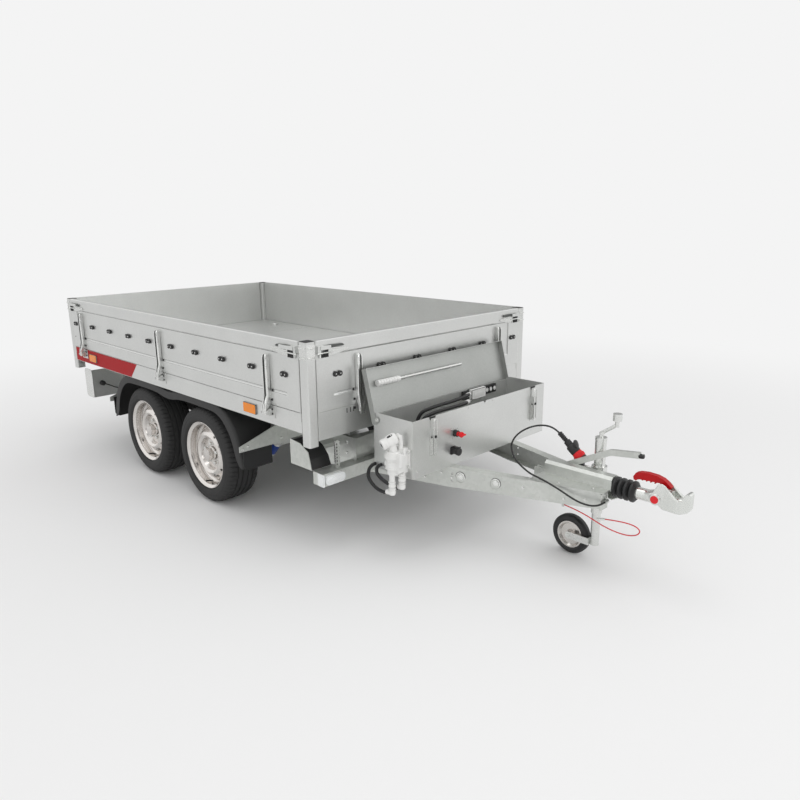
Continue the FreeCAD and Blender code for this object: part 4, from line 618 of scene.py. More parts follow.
def mudguard_piece(name, sign):
    """A section of sheet, lip and inner wall carried along the arch line, closed at both ends."""
    half_line = eased_path([Vector((x, 0, z)) for x, z, _, _, _ in rise_points], parts=4)
    half_depths = eased_path([Vector(depth) for _, _, *depth in rise_points], parts=4)
    line = [(place.x, place.z, *depth) for place, depth in zip(half_line, half_depths)]
    line += [(-x, z, lip, wall, guard_in) for x, z, lip, wall, guard_in in reversed(line[:-1])]
    shape = bmesh.new()
    rings = []
    for k, (x, z, lip, wall, guard_in) in enumerate(line):
        before, after = line[max(k - 1, 0)], line[min(k + 1, len(line) - 1)]
        along = Vector((after[0] - before[0], 0, after[1] - before[1])).normalized()
        inward = Vector((along.z, 0, -along.x))
        if inward.dot(Vector((-x, 0, wheel_height - z)) if abs(x) > 600 else Vector((0, 0, -1))) < 0:
            inward = -inward
        section = [(guard_in, wall), (guard_in, 5), (guard_in + 3, 1.2), (guard_in + 8, 0),
                   (guard_out - 17, 0), (guard_out - 7, 2.4), (guard_out - 1.6, 8), (guard_out, 16),
                   (guard_out, lip), (guard_out - 3, lip), (guard_out - 3, 16), (guard_out - 5, 9.6),
                   (guard_out - 9, 5), (guard_out - 17, 3.2), (guard_in + 8, 3.2), (guard_in + 4, 5),
                   (guard_in + 3.2, 8), (guard_in + 3.2, wall)]
        rings.append([shape.verts.new(spot(between_wheels + x, sign * y, z) + inward * (deep / 1000))
                      for y, deep in section])
    for here, following in zip(rings, rings[1:]):
        for n in range(len(here)):
            m = (n + 1) % len(here)
            shape.faces.new([here[n], here[m], following[m], following[n]])
    shape.faces.new(rings[0])
    shape.faces.new(list(reversed(rings[-1])))
    made = fitted(made_object(name, shape, moulded_black, sharp_deg=40.0), "chassis")
    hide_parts(name.replace("_moulded", ""))


mudguard_piece("mudguard_right_moulded", -1)
mudguard_piece("mudguard_left_moulded", 1)

shape = bmesh.new()
flap = [(-768, 300), (-768, 402), (-598, 402), (-598, 280), (-740, 276), (-758, 283)]
for x in (-554, -2013):
    for sign in (-1, 1):
        prism(shape, [(-sign * y, z) for y, z in flap], -2, 2, facing(spot(x, 0, 0), OUT_FRONT, UP))
flaps = fitted(made_object("mud_flap_sheets", shape, soft_rubber, bevel_mm=0.8), "chassis")
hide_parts("mud_flaps")

for side, sign, _ in SIDES:
    places = [(spot(-547.6, sign * y, z), OUT_FRONT, UP)
              for y, z in ((772, 391), (742, 399), (540, 400), (540, 462))]
    set_of("bracket_bolts_" + side, hex_bolt, places, plated_zinc, "chassis", size=0.85)


# Coupling: a zinc-plated cast head on a shaft that slides in the housing, sealed by a
# pleated rubber boot. A red cap on a plated washer closes the handle's pin on each side,
# and the red moulded handle has finger grooves below.
finish_nodes(dipped_zinc, "overrun_housing")
finish_nodes(soft_rubber, "bellows")
# Zinc-plated casting: bright, with the soft mottle of a sand-cast skin
cast_zinc = zinc("zinc_plated_casting", "#e4e6e3", "#d9dbd7", 2.0, 0.28, 0.9, 1.5)
# Red handle plastic: a deep strong red with a low sheen
red_handle = smooth_finish("red_abs_handle", "#b00008", 0.4, 0.8, 0.06, specular=0.3)
finish_nodes(red_handle, "coupling_handle")
# Red caps: a lighter, warmer red of soft plastic
red_cap = smooth_finish("red_plug_cap", "#dd2129", 0.4, 0.8, 0.05, specular=0.35)


def cast_copy(name, source, voxel_mm, passes, material):
    """A rough shape made into one skin with rounded corners, as a casting has."""
    made = bpy.data.objects.new(name, source)
    bpy.context.scene.collection.objects.link(made)
    skin = made.modifiers.new("skin", "REMESH")
    skin.mode = "VOXEL"
    skin.voxel_size = voxel_mm / 1000
    skin.use_smooth_shade = True
    ease = made.modifiers.new("ease", "SMOOTH")
    ease.factor = 0.5
    ease.iterations = passes
    settle(made)
    made.data.materials.clear()
    made.data.materials.append(material)
    return made


head_node = nodes["coupling_head"]
rough = bmesh.new()
rough.from_mesh(head_node.data)
bmesh.ops.transform(rough, matrix=head_node.matrix_world, verts=rough.verts)
bmesh.ops.remove_doubles(rough, verts=rough.verts, dist=0.00002)
rough_head = bpy.data.meshes.new("rough_head")
rough.to_mesh(rough_head)
rough.free()
head = cast_copy("coupling_casting", rough_head, 1.9, 5, cast_zinc)
shaft_height = 0.404
shaft_radius = 0.0252
neck_start, neck_end = spot(1158, 0, 0).x, spot(1186, 0, 0).x
for vertex in head.data.vertices:
    co = vertex.co
    reach = math.hypot(co.y, co.z - shaft_height)
    if co.x > neck_end or reach < shaft_radius:
        continue
    share = min(1.0, (neck_end - co.x) / (neck_end - neck_start))
    shrink = 1 + (shaft_radius / reach - 1) * share
    co.y *= shrink
    co.z = shaft_height + (co.z - shaft_height) * shrink
fitted(head, "chassis")
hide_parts("coupling_head")

for side, sign, outward in SIDES:
    place = facing(spot(1208, sign * 30.0, 408), outward, UP)
    shape = bmesh.new()
    turned(shape, [(0, 0), (23.5, 0), (23.5, 2.4), (21.5, 4.2), (17.0, 4.6), (16.2, 5.4), (0, 5.4)],
           steps=40, place=place)
    fitted(made_object("pin_washer_" + side, shape, plated_zinc), "chassis")
    shape = bmesh.new()
    turned(shape, [(0, 5), (15.8, 5), (15.8, 8.6), (14.2, 10.2), (5, 10.9), (0, 11.0)], steps=40, place=place)
    fitted(made_object("pin_cap_" + side, shape, red_cap), "chassis")

from_bed_front = Matrix.Translation(spot(0, 0, 0)) @ MM
shape = bmesh.new()
for k in range(5):
    x = 1124 + k * 17.5
    bent_rod(shape, [(x, -9.5, 466.4), (x, 9.5, 466.4)], 3.0, steps=14, place=from_bed_front)
fitted(made_object("handle_grip_waves", shape, red_handle), "chassis")

for side, sign, _ in SIDES:
    places = [(spot(x, sign * y, 394.2), UP, (1, 0, 0)) for x, y in ((740, 120), (820, 104), (960, 62))]
    set_of("housing_bolts_" + side, hex_bolt, places, plated_zinc, "chassis", size=0.8)


# Handbrake lever: an arm of bent and dipped steel plate beside the housing, with a black
# plastic release button in its end.
finish_nodes(dipped_zinc, "handbrake_lever")
shape = bmesh.new()
place = facing(spot(1104, 41, 544), (1.0, 0.0, 0.12), UP)
turned(shape, [(0, -6), (9.6, -6), (10.4, -4), (10.4, 10), (9.2, 13.2), (5, 15.2), (0, 15.6)],
       place=place)
fitted(made_object("brake_lever_button", shape, moulded_black), "chassis")


# Jockey wheel: a plated steel tube with a crank on top, clamped beside the housing, over
# a fork with a small rubber tyre on a silver wheel.
finish_nodes(plated_zinc, "jockey_tube", "jockey_fork")
finish_nodes(soft_rubber, "jockey_tyre")
finish_nodes(wheel_silver, "jockey_rim")


# Power cable and plug: a stiff black sheathed cable from a gland at the drawbar's tip, in
# an arch over the beam to the plug, which is parked on a black holder. The plug has a
# ribbed grip, a round hinged cover and a red coupling ring.
finish_nodes(moulded_black, "plug_holder")
finish_nodes(red_handle, "power_plug")
# Cable sheath: smooth black plastic with a thin line of shine along it
cable_sheath = smooth_finish("black_pvc_sheath", "#1c1c1c", 0.4, 1.0, 0.08)


def cord_piece(name, points, radius_mm, material):
    """A round cord along a route given from the bed's front, in millimetres."""
    curve = bpy.data.curves.new(name, "CURVE")
    curve.dimensions = "3D"
    curve.bevel_depth = radius_mm / 1000
    curve.bevel_resolution = 5
    curve.resolution_u = 12
    curve.use_fill_caps = True
    spline = curve.splines.new("NURBS")
    spline.points.add(len(points) - 1)
    for point, place in zip(spline.points, points):
        point.co = (*spot(*place), 1.0)
    spline.order_u = 3
    spline.use_endpoint_u = True
    made = bpy.data.objects.new(name, curve)
    curve.materials.append(material)
    bpy.context.scene.collection.objects.link(made)
    return made


cable_route = [
    (1017, -68, 352), (1017, -104, 350), (994, -134, 349), (950, -140, 351), (904, -141, 362),
    (854, -144, 382), (800, -148, 400), (745, -140, 408), (690, -118, 404), (636, -92, 408),
    (584, -70, 420), (546, -56, 446), (526, -44, 482), (538, -32, 522), (572, -16, 558),
    (618, 10, 582), (660, 42, 584), (692, 70.9, 562.3), (722, 74, 536)]
cable = cord_piece("power_cable_sheath", cable_route, 4.0, cable_sheath)
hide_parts("power_cable")
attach(cable, "chassis")

plug_start, plug_end = Vector((722, 74, 536)), Vector((818, 84, 452))
plug_run = plug_end - plug_start
plug_place = facing(spot(*plug_start), plug_run, (0, -1, 0.3))
shape = bmesh.new()
profile = [(4.2, -26), (9.0, -24)]
for k in range(5):
    at = -20 + k * 8.6
    profile += [(11.4, at), (11.4, at + 3.6), (9.4, at + 4.4), (9.4, at + 7.6)]
profile += [(15.2, 24.2), (16.0, 47), (20.5, 49.6), (22.8, 54), (23.0, 84), (22.0, 88), (21.4, 90)]
turned(shape, profile, steps=32, place=plug_place)
cover_tilt = Matrix.Rotation(math.radians(62), 4, "Y")
cover_place = plug_place @ Matrix.Translation((20, 0, 62)) @ cover_tilt
turned(shape, [(0, -4), (17, -4), (20.5, -2), (21.5, 3), (20.0, 7), (14, 9.5), (0, 10.2)], steps=32,
       place=cover_place)
fitted(made_object("plug_body", shape, moulded_black), "chassis")
shape = bmesh.new()
turned(shape, [(21.2, 90), (23.0, 91), (23.2, 99), (25.4, 101), (25.8, 116), (24.4, 119), (24.1, 119)],
       steps=40, place=plug_place)
for x, y in ring_places(12, 25.4):
    bent_rod(shape, [(x, y, 102), (x, y, 115)], 1.6, steps=6, place=plug_place)
fitted(made_object("plug_ring", shape, red_cap), "chassis")


# Breakaway wire: a thin wire rope in a red coat, from its eye under the drawbar to a loop
# that hangs free, with a plated carabiner.
finish_nodes(plated_zinc, "carabiner")
# Red coated wire: a clear red with a small gloss
red_sheath = smooth_finish("red_coated_wire", "#d1333a", 0.35, 1.0, 0.05)
rope_route = [
    (851.3, -104, 305), (892, -92, 294), (936, -66, 270), (968, -44, 246), (1006, -30, 226),
    (1056, -20, 214), (1104, -14, 213), (1140, -12, 226), (1154, -14, 248), (1138, -20, 266),
    (1102, -28, 273), (1056, -36, 272), (1012, -44, 268)]
rope = cord_piece("breakaway_wire", rope_route, 2.5, red_sheath)
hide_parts("breakaway_rope")
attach(rope, "chassis")


# Front lamp bar: an arm of dipped steel across the front, hung on drilled straps, with a
# clear marker lamp that wraps each end. Two black plastic wheel chocks sit in its holders.
finish_nodes(dipped_zinc, "front_lamp_bar")
finish_nodes(moulded_black, "wheel_chocks")
# Clear lens: pale and glossy, with the fine ribs of a moulded reflector
clear_lens = smooth_finish("white_marker_lens", "#eceeee", 0.2, 3.0, 0.3, coat=0.6)
finish_nodes(clear_lens, "front_lamps")


def block(shape, x0, x1, y0, y1, z0, z1, place=Matrix.Identity(4)):
    """A box between two corners."""
    prism(shape, [(x0, y0), (x1, y0), (x1, y1), (x0, y1)], z0, z1, place)


def rounded_outline(x0, x1, y0, y1, radius, steps=5):
    """A rectangle with round corners, as (x, y) points."""
    points = []
    for cx, cy, start in ((x1 - radius, y1 - radius, 0), (x0 + radius, y1 - radius, 90),
                          (x0 + radius, y0 + radius, 180), (x1 - radius, y0 + radius, 270)):
        for k in range(steps + 1):
            angle = math.radians(start + 90 * k / steps)
            points.append((cx + radius * math.cos(angle), cy + radius * math.sin(angle)))
    return points


lens_stretch = 2.55
marker_low, marker_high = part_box("front_lamps")
bottom, top = marker_low.z * 1000 - 7, marker_high.z * 1000 + 7
for side, sign, outward in SIDES:
    place = facing(spot(24, sign * 657, 360), OUT_FRONT, UP) @ Matrix.Diagonal((lens_stretch, 1, 1, 1))
    shape = bmesh.new()
    turned(shape, [(19.5, -0.2), (19.5, 1.2), (17.5, 2.6), (16.0, 1.4), (14.5, 2.6), (12.0, 3.0), (10.5, 1.8),
                   (8.6, 3.2), (4.0, 4.4), (0, 4.8)], steps=48, place=place)
    fitted(made_object("marker_lens_" + side, shape, clear_lens), "chassis")
    shape = bmesh.new()
    # The strap's holes are flat black discs: painted shade inside the holes
    place = facing(spot(-19.8, sign * 614, 0), OUT_FRONT, UP)
    for k in range(7):
        turned(shape, [(0, 0), (3.4, 0), (3.4, 0.4), (0, 0.5)], steps=14,
               place=place @ Matrix.Translation((0, 404 + k * 16, 0)))
    fitted(made_object("strap_holes_" + side, shape, moulded_black), "chassis")
    shape = bmesh.new()
    place = facing(spot(-21, sign * 614, 0), OUT_FRONT, UP)
    for edge in (-13, 10):
        block(shape, edge, edge + 3, 392, 515, -3, 7, place)
    fitted(made_object("strap_edges_" + side, shape, plated_zinc, bevel_mm=0.4), "chassis")
    shape = bmesh.new()
    place = facing(spot(0, sign * 722, 0), outward, UP)
    low, high = sorted((sign * 26, sign * -22))
    prism(shape, rounded_outline(low, high, bottom, top, 9), 0.2, 4, place)
    prism(shape, rounded_outline(low + 6, high - 6, bottom + 7, top - 7, 8), 4, 6, place)
    fitted(made_object("marker_end_" + side, shape, clear_lens, bevel_mm=1.2), "chassis")


# Rear light bar: a folded zinc sheet across the rear with rounded end plates. On each side
# a black lamp housing holds red, amber and red lens fields, and the lamp cable's round
# plug sits on the bar's front face.

# Pre-galvanised sheet: pale, even and satin, with a fine spangle
sheet_zinc = zinc("pregalvanised_sheet", "#dadbd9", "#d2d3d1", 5.0, 0.34, 0.8, 3.0)
finish_nodes(sheet_zinc, "light_bar")
finish_nodes(moulded_black, "tail_lamps")
# Amber lens: a warm orange that glows a little at its ribs
amber_lens = smooth_finish("amber_reflector", "#f08a1c", 0.24, 3.0, 0.5, coat=0.2, specular=0.3)
# Red lens: dark red and glossy
red_lens = smooth_finish("red_tail_lens", "#a31216", 0.2, 3.0, 0.4, coat=0.6)
lens_fields = (("outer", -108, -38, red_lens, "red_plastic"), ("middle", -35, 33, amber_lens, "amber"),
               ("inner", 36, 108, red_lens, "red_plastic"))
for side, sign, outward in SIDES:
    place = facing(spot(-2567, sign * 575, 395), OUT_REAR, UP)
    for part_name, low, high, material, slot_name in lens_fields:
        if sign < 0:
            low, high = -high, -low
        shape = bmesh.new()
        prism(shape, rounded_outline(low, high, -48, 48, 9), -1, 2.2, place)
        for k in range(6):
            height = -36 + 14.4 * k
            prism(shape, rounded_outline(low + 5, high - 5, height - 4.5, height + 4.5, 4.2), 2.2, 3.4, place)
        made = made_object("tail_lens_%s_%s" % (part_name, side), shape, material, bevel_mm=0.6)
        fitted(made, "chassis")
    place = facing(spot(-2495, sign * 718, 410), outward, UP)
    shape = bmesh.new()
    low, high = (-62, 54) if sign < 0 else (-54, 62)
    prism(shape, rounded_outline(low, high, -99, 99, 26), 0.2, 3.2, place)
    fitted(made_object("light_bar_end_" + side, shape, plated_zinc, bevel_mm=1.0), "chassis")
    shape = bmesh.new()
    place = facing(spot(-2445, sign * 657, 409), OUT_FRONT, UP)
    turned(shape, [(0, 0), (17, 0), (17, 3), (14.5, 4), (14.5, 15), (16.5, 17), (16.5, 22), (13, 25),
                   (0, 25.5)], steps=28, place=place)
    wire = eased_path([(-2434, sign * 648, 404), (-2432, sign * 610, 386), (-2436, sign * 571, 364),
                       (-2440, sign * 530, 352), (-2440, sign * 450, 350)])
    bent_rod(shape, wire, 3.4, steps=10, place=from_bed_front)
    fitted(made_object("lamp_plug_" + side, shape, moulded_black), "chassis")


# Hand pump: one white coated casting with a collared body, a valve block, a slanted lever
# socket with an oval slot, and two ported legs that end in elbows. Two stiff rubber hoses
# run from it to the box.
finish_nodes(white_coat, "hand_pump")
# Each leg: its place beside the body, its lower end, and how far its elbow reaches back
legs = (2, -12, -98, -34), (34, 16, -70, -22)
pump_place = (270.0, -540.0, 415.0)
stand = from_bed_front @ Matrix.Translation(pump_place)
shape = bmesh.new()
turned(shape, [(0, -4), (24, -4), (29, 2), (30, 24), (35, 28), (36, 36), (32, 41), (31.5, 66), (38, 72),
               (39.5, 80), (39, 90), (34, 95), (30, 104), (0, 104)], steps=48, place=stand)
block(shape, -18, 44, 18, 46, 6, 116, stand)
block(shape, -24, 58, 40, 46, 22, 108, stand)
block(shape, 18, 46, -14, 22, 12, 88, stand)
bent_rod(shape, [(46, -8, 42), (50, -8, 60), (50, -8, 100)], 10.5, steps=16, place=stand)
bent_rod(shape, [(24, -4, 88), (50, -8, 92)], 10, steps=16, place=stand)
bent_rod(shape, [(-34, -4, 52), (-40, -6, 40), (-41, -6, 30)], 8, steps=14, place=stand)
for x, y, low, back in legs:
    profile = [(0, low + 2), (12, low + 2), (15, low + 8), (15, low + 22), (12.4, low + 25), (12.4, low + 36),
               (15.4, low + 39), (15.4, low + 52), (12.6, low + 55), (13.4, -2), (15, 4), (0, 8)]
    turned(shape, profile, steps=28, place=stand @ Matrix.Translation((x, y, 0)))
    bent_rod(shape, [(x, y, low + 12), (x - 18, y, low + 10), (x + back, y, low + 9)], 12, steps=20,
             place=stand)
low_end, high_end = Vector((-14, -50, 138)), Vector((10, 2, 163))
tilt = facing(Vector((0, 0, 0)), high_end - low_end, UP).to_3x3().normalized().to_4x4()
head_place = stand @ Matrix.Translation(low_end) @ tilt
head_length = (high_end - low_end).length
turned(shape, [(10, -6), (20, -6), (23.5, -2), (23.5, 8), (22, 12), (22, 20), (25, 26),
               (26.4, head_length * 0.6), (26.4, head_length - 4), (22, head_length + 4),
               (0, head_length + 6)], steps=40, place=head_place)
turned(shape, [(10, -6), (9.6, 28), (0, 30)], steps=32, place=head_place)
bent_rod(shape, [(4, -2, 96), (0, -10, 140)], 18, steps=24, place=stand)
bent_rod(shape, [(20, 20, 90), (22, 24, 130), (20, 20, 170)], 10, steps=18, place=stand)
bent_rod(shape, [(30, 12, 168), (4, 20, 170)], 9, steps=16, place=stand)
bmesh.ops.recalc_face_normals(shape, faces=shape.faces)
rough_pump = bpy.data.meshes.new("rough_pump")
shape.to_mesh(rough_pump)
shape.free()
pump = cast_copy("pump_casting", rough_pump, 1.5, 2, white_coat)
fitted(pump, "chassis")
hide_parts("hand_pump")

# The lever socket's oval slot and end hole are black inlays: painted shade inside the openings
shape = bmesh.new()
outline = []
for k in range(24):
    angle = math.radians(15 * k)
    outline.append((5.2 * math.sin(angle), 8.4 * math.cos(angle) + (4.5 if math.cos(angle) > 0 else -4.5)))
axis = (high_end - low_end).normalized()
slot_out = Vector((0.35, -0.25, 1.0))
slot_out = (slot_out - axis * slot_out.dot(axis)).normalized()
slot_turn = facing(Vector((0, 0, 0)), slot_out, axis).to_3x3().normalized().to_4x4()
slot_place = stand @ Matrix.Translation(low_end + axis * 40) @ slot_turn
prism(shape, outline, 24.4, 26.9, slot_place)
turned(shape, [(0, -6.5), (9.4, -6.5), (9.4, -5.9), (0, -5.9)], steps=30, place=head_place)
fitted(made_object("pump_openings", shape, moulded_black), "chassis")
shape = bmesh.new()
for low, high, radius in ((24, 31, 37.6), (56, 60, 34.2), (74, 86, 41.2), (92, 96, 36.6)):
    turned(shape, [(radius - 3, low), (radius, low + 1), (radius, high - 1), (radius - 3, high)], steps=48,
           place=stand)
for x, y, low, _ in legs:
    for foot in (low + 28, low + 42, low + 58):
        turned(shape, [(14, foot), (16.8, foot + 1), (16.8, foot + 6), (14, foot + 7)], steps=28,
               place=stand @ Matrix.Translation((x, y, 0)))
turned(shape, [(20, 9.6), (24.4, 10.4), (24.4, 13), (20, 14)], steps=40, place=head_place)
turned(shape, [(24, 44), (27.2, 45), (27.2, 48), (24, 49)], steps=40, place=head_place)
for x, y in ring_places(6, 35.5):
    turned(shape, [(0, 84), (4.6, 84), (4.6, 90), (3.6, 91), (0, 91)], steps=6,
           place=stand @ Matrix.Translation((x, y, 0)))
fitted(made_object("pump_rings", shape, white_coat), "chassis")
places = [(stand @ Vector((x, y, z)), OUT_RIGHT, UP) for x, y, z in ((52, 39.8, 32), (52, 39.8, 98))]
set_of("pump_bolts", hex_bolt, places, plated_zinc, "chassis", size=0.9)

hose_routes = {
    "pump_hose_pressure": [
        (222, -550, 316), (178, -550, 316), (134, -546, 334), (102, -540, 358), (94, -524, 388),
        (106, -510, 408), (106, -494, 408)],
    "pump_hose_return": [
        (276, -522, 344), (230, -522, 344), (186, -525, 356), (152, -530, 378), (142, -522, 402),
        (144, -510, 412), (144, -494, 412)]}
for name, route in hose_routes.items():
    hose = cord_piece(name, route, 8.0, soft_rubber)
    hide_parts("pump_hoses")
    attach(hose, "chassis")


# Tool box: a folded box of zinc sheet across the drawbar, with a hinged lid that carries the
# pump's handle on its inner face. Two over-centre latches with wire loops close it.
finish_nodes(sheet_zinc, "tool_box")
# Lid sheet: the box's zinc sheet made greyer and less glossy, painted shade on the open lid's face
lid_shaded_sheet = zinc("lid_sheet_painted_shade", "#b2b4b1", "#a9aba8", 5.0, 0.42, 0.75, 3.0)
finish_nodes(lid_shaded_sheet, "tool_box_lid")
finish_nodes(white_coat, "pump_handle")
box_front = 340.0
for k, y in enumerate((-370, 390)):
    place = facing(spot(box_front, y, 0), OUT_FRONT, UP)
    shape = bmesh.new()
    for side in (-1, 1):
        block(shape, side * 12.8 - 1.4, side * 12.8 + 1.4, 478, 566, 4, 17, place)
        block(shape, side * 9.6 - 0.8, side * 9.6 + 0.8, 486, 580, 17.8, 20.5, place)
    block(shape, -16, 16, 470, 572, 0.3, 2.2, place)
    bent_rod(shape, [(-10.5, 556, 20), (-11, 600, 20), (-10, 636, 19.2), (0, 641, 19), (10, 636, 19.2),
                     (11, 600, 20), (10.5, 556, 20)], 2.0, steps=8, place=place)
    prism(shape, [(-9, 474), (9, 474), (7, 487), (-7, 487)], 16, 19, place)
    fitted(made_object("box_latch_%d" % k, shape, plated_zinc, bevel_mm=0.4), "chassis")
    shape = bmesh.new()
    turned(shape, [(0, 0), (6.5, 0), (6.5, 2.0), (4.8, 2.6), (4.8, 5.0), (3.0, 5.6), (0, 5.6)], steps=12,
           place=place @ Matrix.Translation((2, 560, 18.2)))
    block(shape, -8.6, 8.6, 492, 548, 2.3, 4.0, place)
    for edge in (-16.5, 13.8):
        block(shape, edge, edge + 2.7, 556, 564, 8, 16, place)
    fitted(made_object("box_latch_bolt_%d" % k, shape, moulded_black), "chassis")
    shape = bmesh.new()
    prism(shape, [(-18, 649.2), (-15, 636), (-7, 627), (7, 627), (15, 636), (18, 649.2)], 0.15, 3.2, place)
    fitted(made_object("box_notch_%d" % k, shape, moulded_black), "chassis")

places = [(spot(124, sign * 497.0, 617), outward, UP) for _, sign, outward in SIDES]
set_of("lid_hinge_bolts", hex_bolt, places, plated_zinc, "lid")
screw_places = ((-236, 560), (-198, 560), (-236, 518), (-198, 518), (-120, 640), (60, 640), (470, 420),
                (-470, 420))
places = [(spot(box_front + 0.2, y, z), OUT_FRONT, UP) for y, z in screw_places]
set_of("box_screws", hex_bolt, places, plated_zinc, "chassis", size=0.42)

# The handle's bar is zinc plated and sits in two sprung clips on the white rod
bar_node = nodes["pump_handle"]
bar_world = [bar_node.matrix_world @ vertex.co for vertex in bar_node.data.vertices]
far_y = max(co.y for co in bar_world)
far_end = [co for co in bar_world if co.y > far_y - 0.0005]
bar_x = sum(co.x for co in far_end) / len(far_end)
bar_z = sum(co.z for co in far_end) / len(far_end)
shape = bmesh.new()
bar_place = facing(Vector((bar_x, far_y, bar_z)), OUT_LEFT, UP)
turned(shape, [(0, 1.2), (6.0, 1.0), (7.6, -0.6), (7.6, -440)], place=bar_place)
for back in (-86, -408):
    turned(shape, [(7.6, back + 7), (9.4, back + 6), (9.4, back - 6), (7.6, back - 7)], place=bar_place)
fitted(made_object("pump_handle_bar", shape, plated_zinc), "lid")


# Control unit: the pump's white plastic control box on a black plate inside the tool box,
# with round sockets and two stiff black hoses in white ferrules.
finish_nodes(moulded_black, "control_unit")
unit_wall = 102.5
shape = bmesh.new()
place = facing(spot(unit_wall, 0, 0), OUT_FRONT, UP)
prism(shape, [(158, 582), (274, 582), (274, 636), (158, 636)], 13.6, 27, place)
prism(shape, [(162, 586), (270, 586), (270, 632), (162, 632)], 26, 32, place)
block(shape, 176, 256, 600, 618, 32, 33.4, place)
fitted(made_object("control_box_cover", shape, white_coat, bevel_mm=2.2), "chassis")
shape = bmesh.new()
for y in (296, 328, 360):
    turned(shape, [(8.2, 20.2), (8.2, 21.6), (10.6, 21.6), (10.6, 20.2)], steps=32,
           place=place @ Matrix.Translation((y, 612, 0)))
    turned(shape, [(0, 20.3), (7.0, 20.3), (7.0, 20.8), (0, 21.2)], steps=32,
           place=place @ Matrix.Translation((y, 612, 0)))
for y in (122, 146):
    turned(shape, [(0, 14.1), (4.2, 14.1), (4.2, 15.0), (0, 15.2)], steps=20,
           place=place @ Matrix.Translation((y, 610, 0)))
fitted(made_object("control_box_sockets", shape, white_coat), "chassis")

hose_a = [(140, 128, 622), (156, 96, 626), (172, 40, 628), (178, -40, 626), (182, -120, 627),
          (176, -190, 622), (152, -236, 602), (136, -252, 550), (134, -256, 470)]
hose_b = [(190, 60, 606), (212, 0, 610), (222, -80, 614), (226, -170, 616), (222, -236, 612),
          (202, -280, 588), (190, -292, 520), (188, -294, 450)]
shape = bmesh.new()
for route in (hose_a, hose_b):
    bent_rod(shape, eased_path(route), 8.5, steps=14, place=from_bed_front)
fitted(made_object("box_hoses", shape, soft_rubber), "chassis")
shape = bmesh.new()
for start, end in ((hose_a[0], hose_a[2]), (hose_b[0], hose_b[1])):
    run = Vector(end) - Vector(start)
    place = facing(spot(*start), run, UP)
    turned(shape, [(0, -16), (6, -16), (6, -4), (10.5, -3), (10.5, 3), (9.6, 4), (9.6, 8), (10.8, 9),
                   (10.8, 13), (9.6, 14), (9.6, 18), (10.8, 19), (10.8, 26), (8.6, 28)], place=place)
fitted(made_object("hose_ferrules", shape, white_coat), "chassis")


# Battery switch and socket on the box front: a red ribbed knob with a cross bar in a black
# collar, and a black socket on a square flange with corner screws and a sprung cover.
place = facing(spot(box_front, -217, 539), OUT_FRONT, UP)
shape = bmesh.new()
turned(shape, [(0, 0.2), (16.5, 0.2), (16.5, 3), (15, 4.4), (15, 17), (13.6, 18.6), (9, 18.6)], steps=36,
       place=place)
turned(shape, [(10.4, 27), (11.4, 27.5), (11.4, 29), (10.4, 29.5)], steps=30, place=place)
fitted(made_object("switch_collar", shape, moulded_black), "chassis")
shape = bmesh.new()
turned(shape, [(0, 18), (10.6, 18), (10.6, 34), (12.4, 35.5), (12.4, 42), (11.2, 44), (0, 44.4)], steps=36,
       place=place)
prism(shape, [(-15, -3.4), (15, -3.4), (17, 0), (15, 3.4), (-15, 3.4), (-17, 0)], 40, 52, place)
for x, y in ring_places(10, 12.2):
    bent_rod(shape, [(x, y, 36), (x, y, 42.5)], 1.1, steps=6, place=place)
switch = fitted(made_object("switch_knob", shape, red_cap), "chassis")
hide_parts("battery_switch")

place = facing(spot(box_front, -231, 461), OUT_FRONT, UP)
shape = bmesh.new()
prism(shape, [(-19, -14), (-14, -19), (14, -19), (19, -14), (19, 14), (14, 19), (-14, 19), (-19, 14)],
      0.2, 5, place)
turned(shape, [(0, 4), (15.4, 4), (15.4, 26), (17.2, 27.4), (17.2, 31), (15.4, 32), (15.4, 34)], steps=36,
       place=place)
turned(shape, [(0, 35), (17.4, 35), (18.4, 37), (17.6, 40.6), (14, 42.4), (0, 43)], steps=36, place=place)
block(shape, -6.5, 6.5, 14, 21, 5, 41, place)
bent_rod(shape, [(-9, 20, 38), (9, 20, 38)], 3.2, steps=12, place=place)
for x, y in ((-14, -14), (14, -14), (-14, 14), (14, 14)):
    turned(shape, [(0, 4.6), (2.8, 4.6), (2.8, 6.6), (2.0, 7.2), (0, 7.2)], steps=12,
           place=place @ Matrix.Translation((x, y, 0)))
socket = made_object("box_socket_cover", shape, moulded_black, bevel_mm=0.5)
fitted(socket, "chassis")
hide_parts("box_socket")


# Tipping gear: a plated three-stage cylinder under the bed, on a bracket of dipped steel
# that is bolted between the rails.
finish_nodes(dipped_zinc, "tip_bracket")
finish_nodes(plated_zinc, "cylinder_barrel", "cylinder_stage_1", "cylinder_stage_2", "cylinder_stage_3")


# Bed: a welded frame with a floor of zinc sheet, a fixed front board and four posts with
# black caps. The floor has welded seams across it, and lashing rings in round cups.
finish_nodes(sheet_zinc, "bed_frame", "bed_floor", "corner_posts", "front_board")
floor_top = 686.1
shape = bmesh.new()
for x in (-640, -1280, -1920):
    block(shape, x - 1.6, x + 1.6, -742, 742, floor_top - 0.2, floor_top + 0.4, from_bed_front)
fitted(made_object("floor_seams", shape, plated_zinc), "bed")
shape = bmesh.new()
turned(shape, [(0, 0), (34, 0), (34, 1.6), (29, 2.4), (26, 1.0), (0, 0.8)], steps=36)
ring = [(x, y, 4.6) for x, y in ring_places(24, 18)]
bent_rod(shape, ring + ring[:1], 3.2)
block(shape, -8, 8, 15, 24, 0.8, 6.5)
lashing_ring = pattern_part("lashing_ring", shape)
places = [(spot(x, sign * 640, floor_top), UP, (0, sign, 0))
          for x in (-330, -1280, -2230) for sign in (-1, 1)]
set_of("lashing_rings", lashing_ring, places, plated_zinc, "bed")

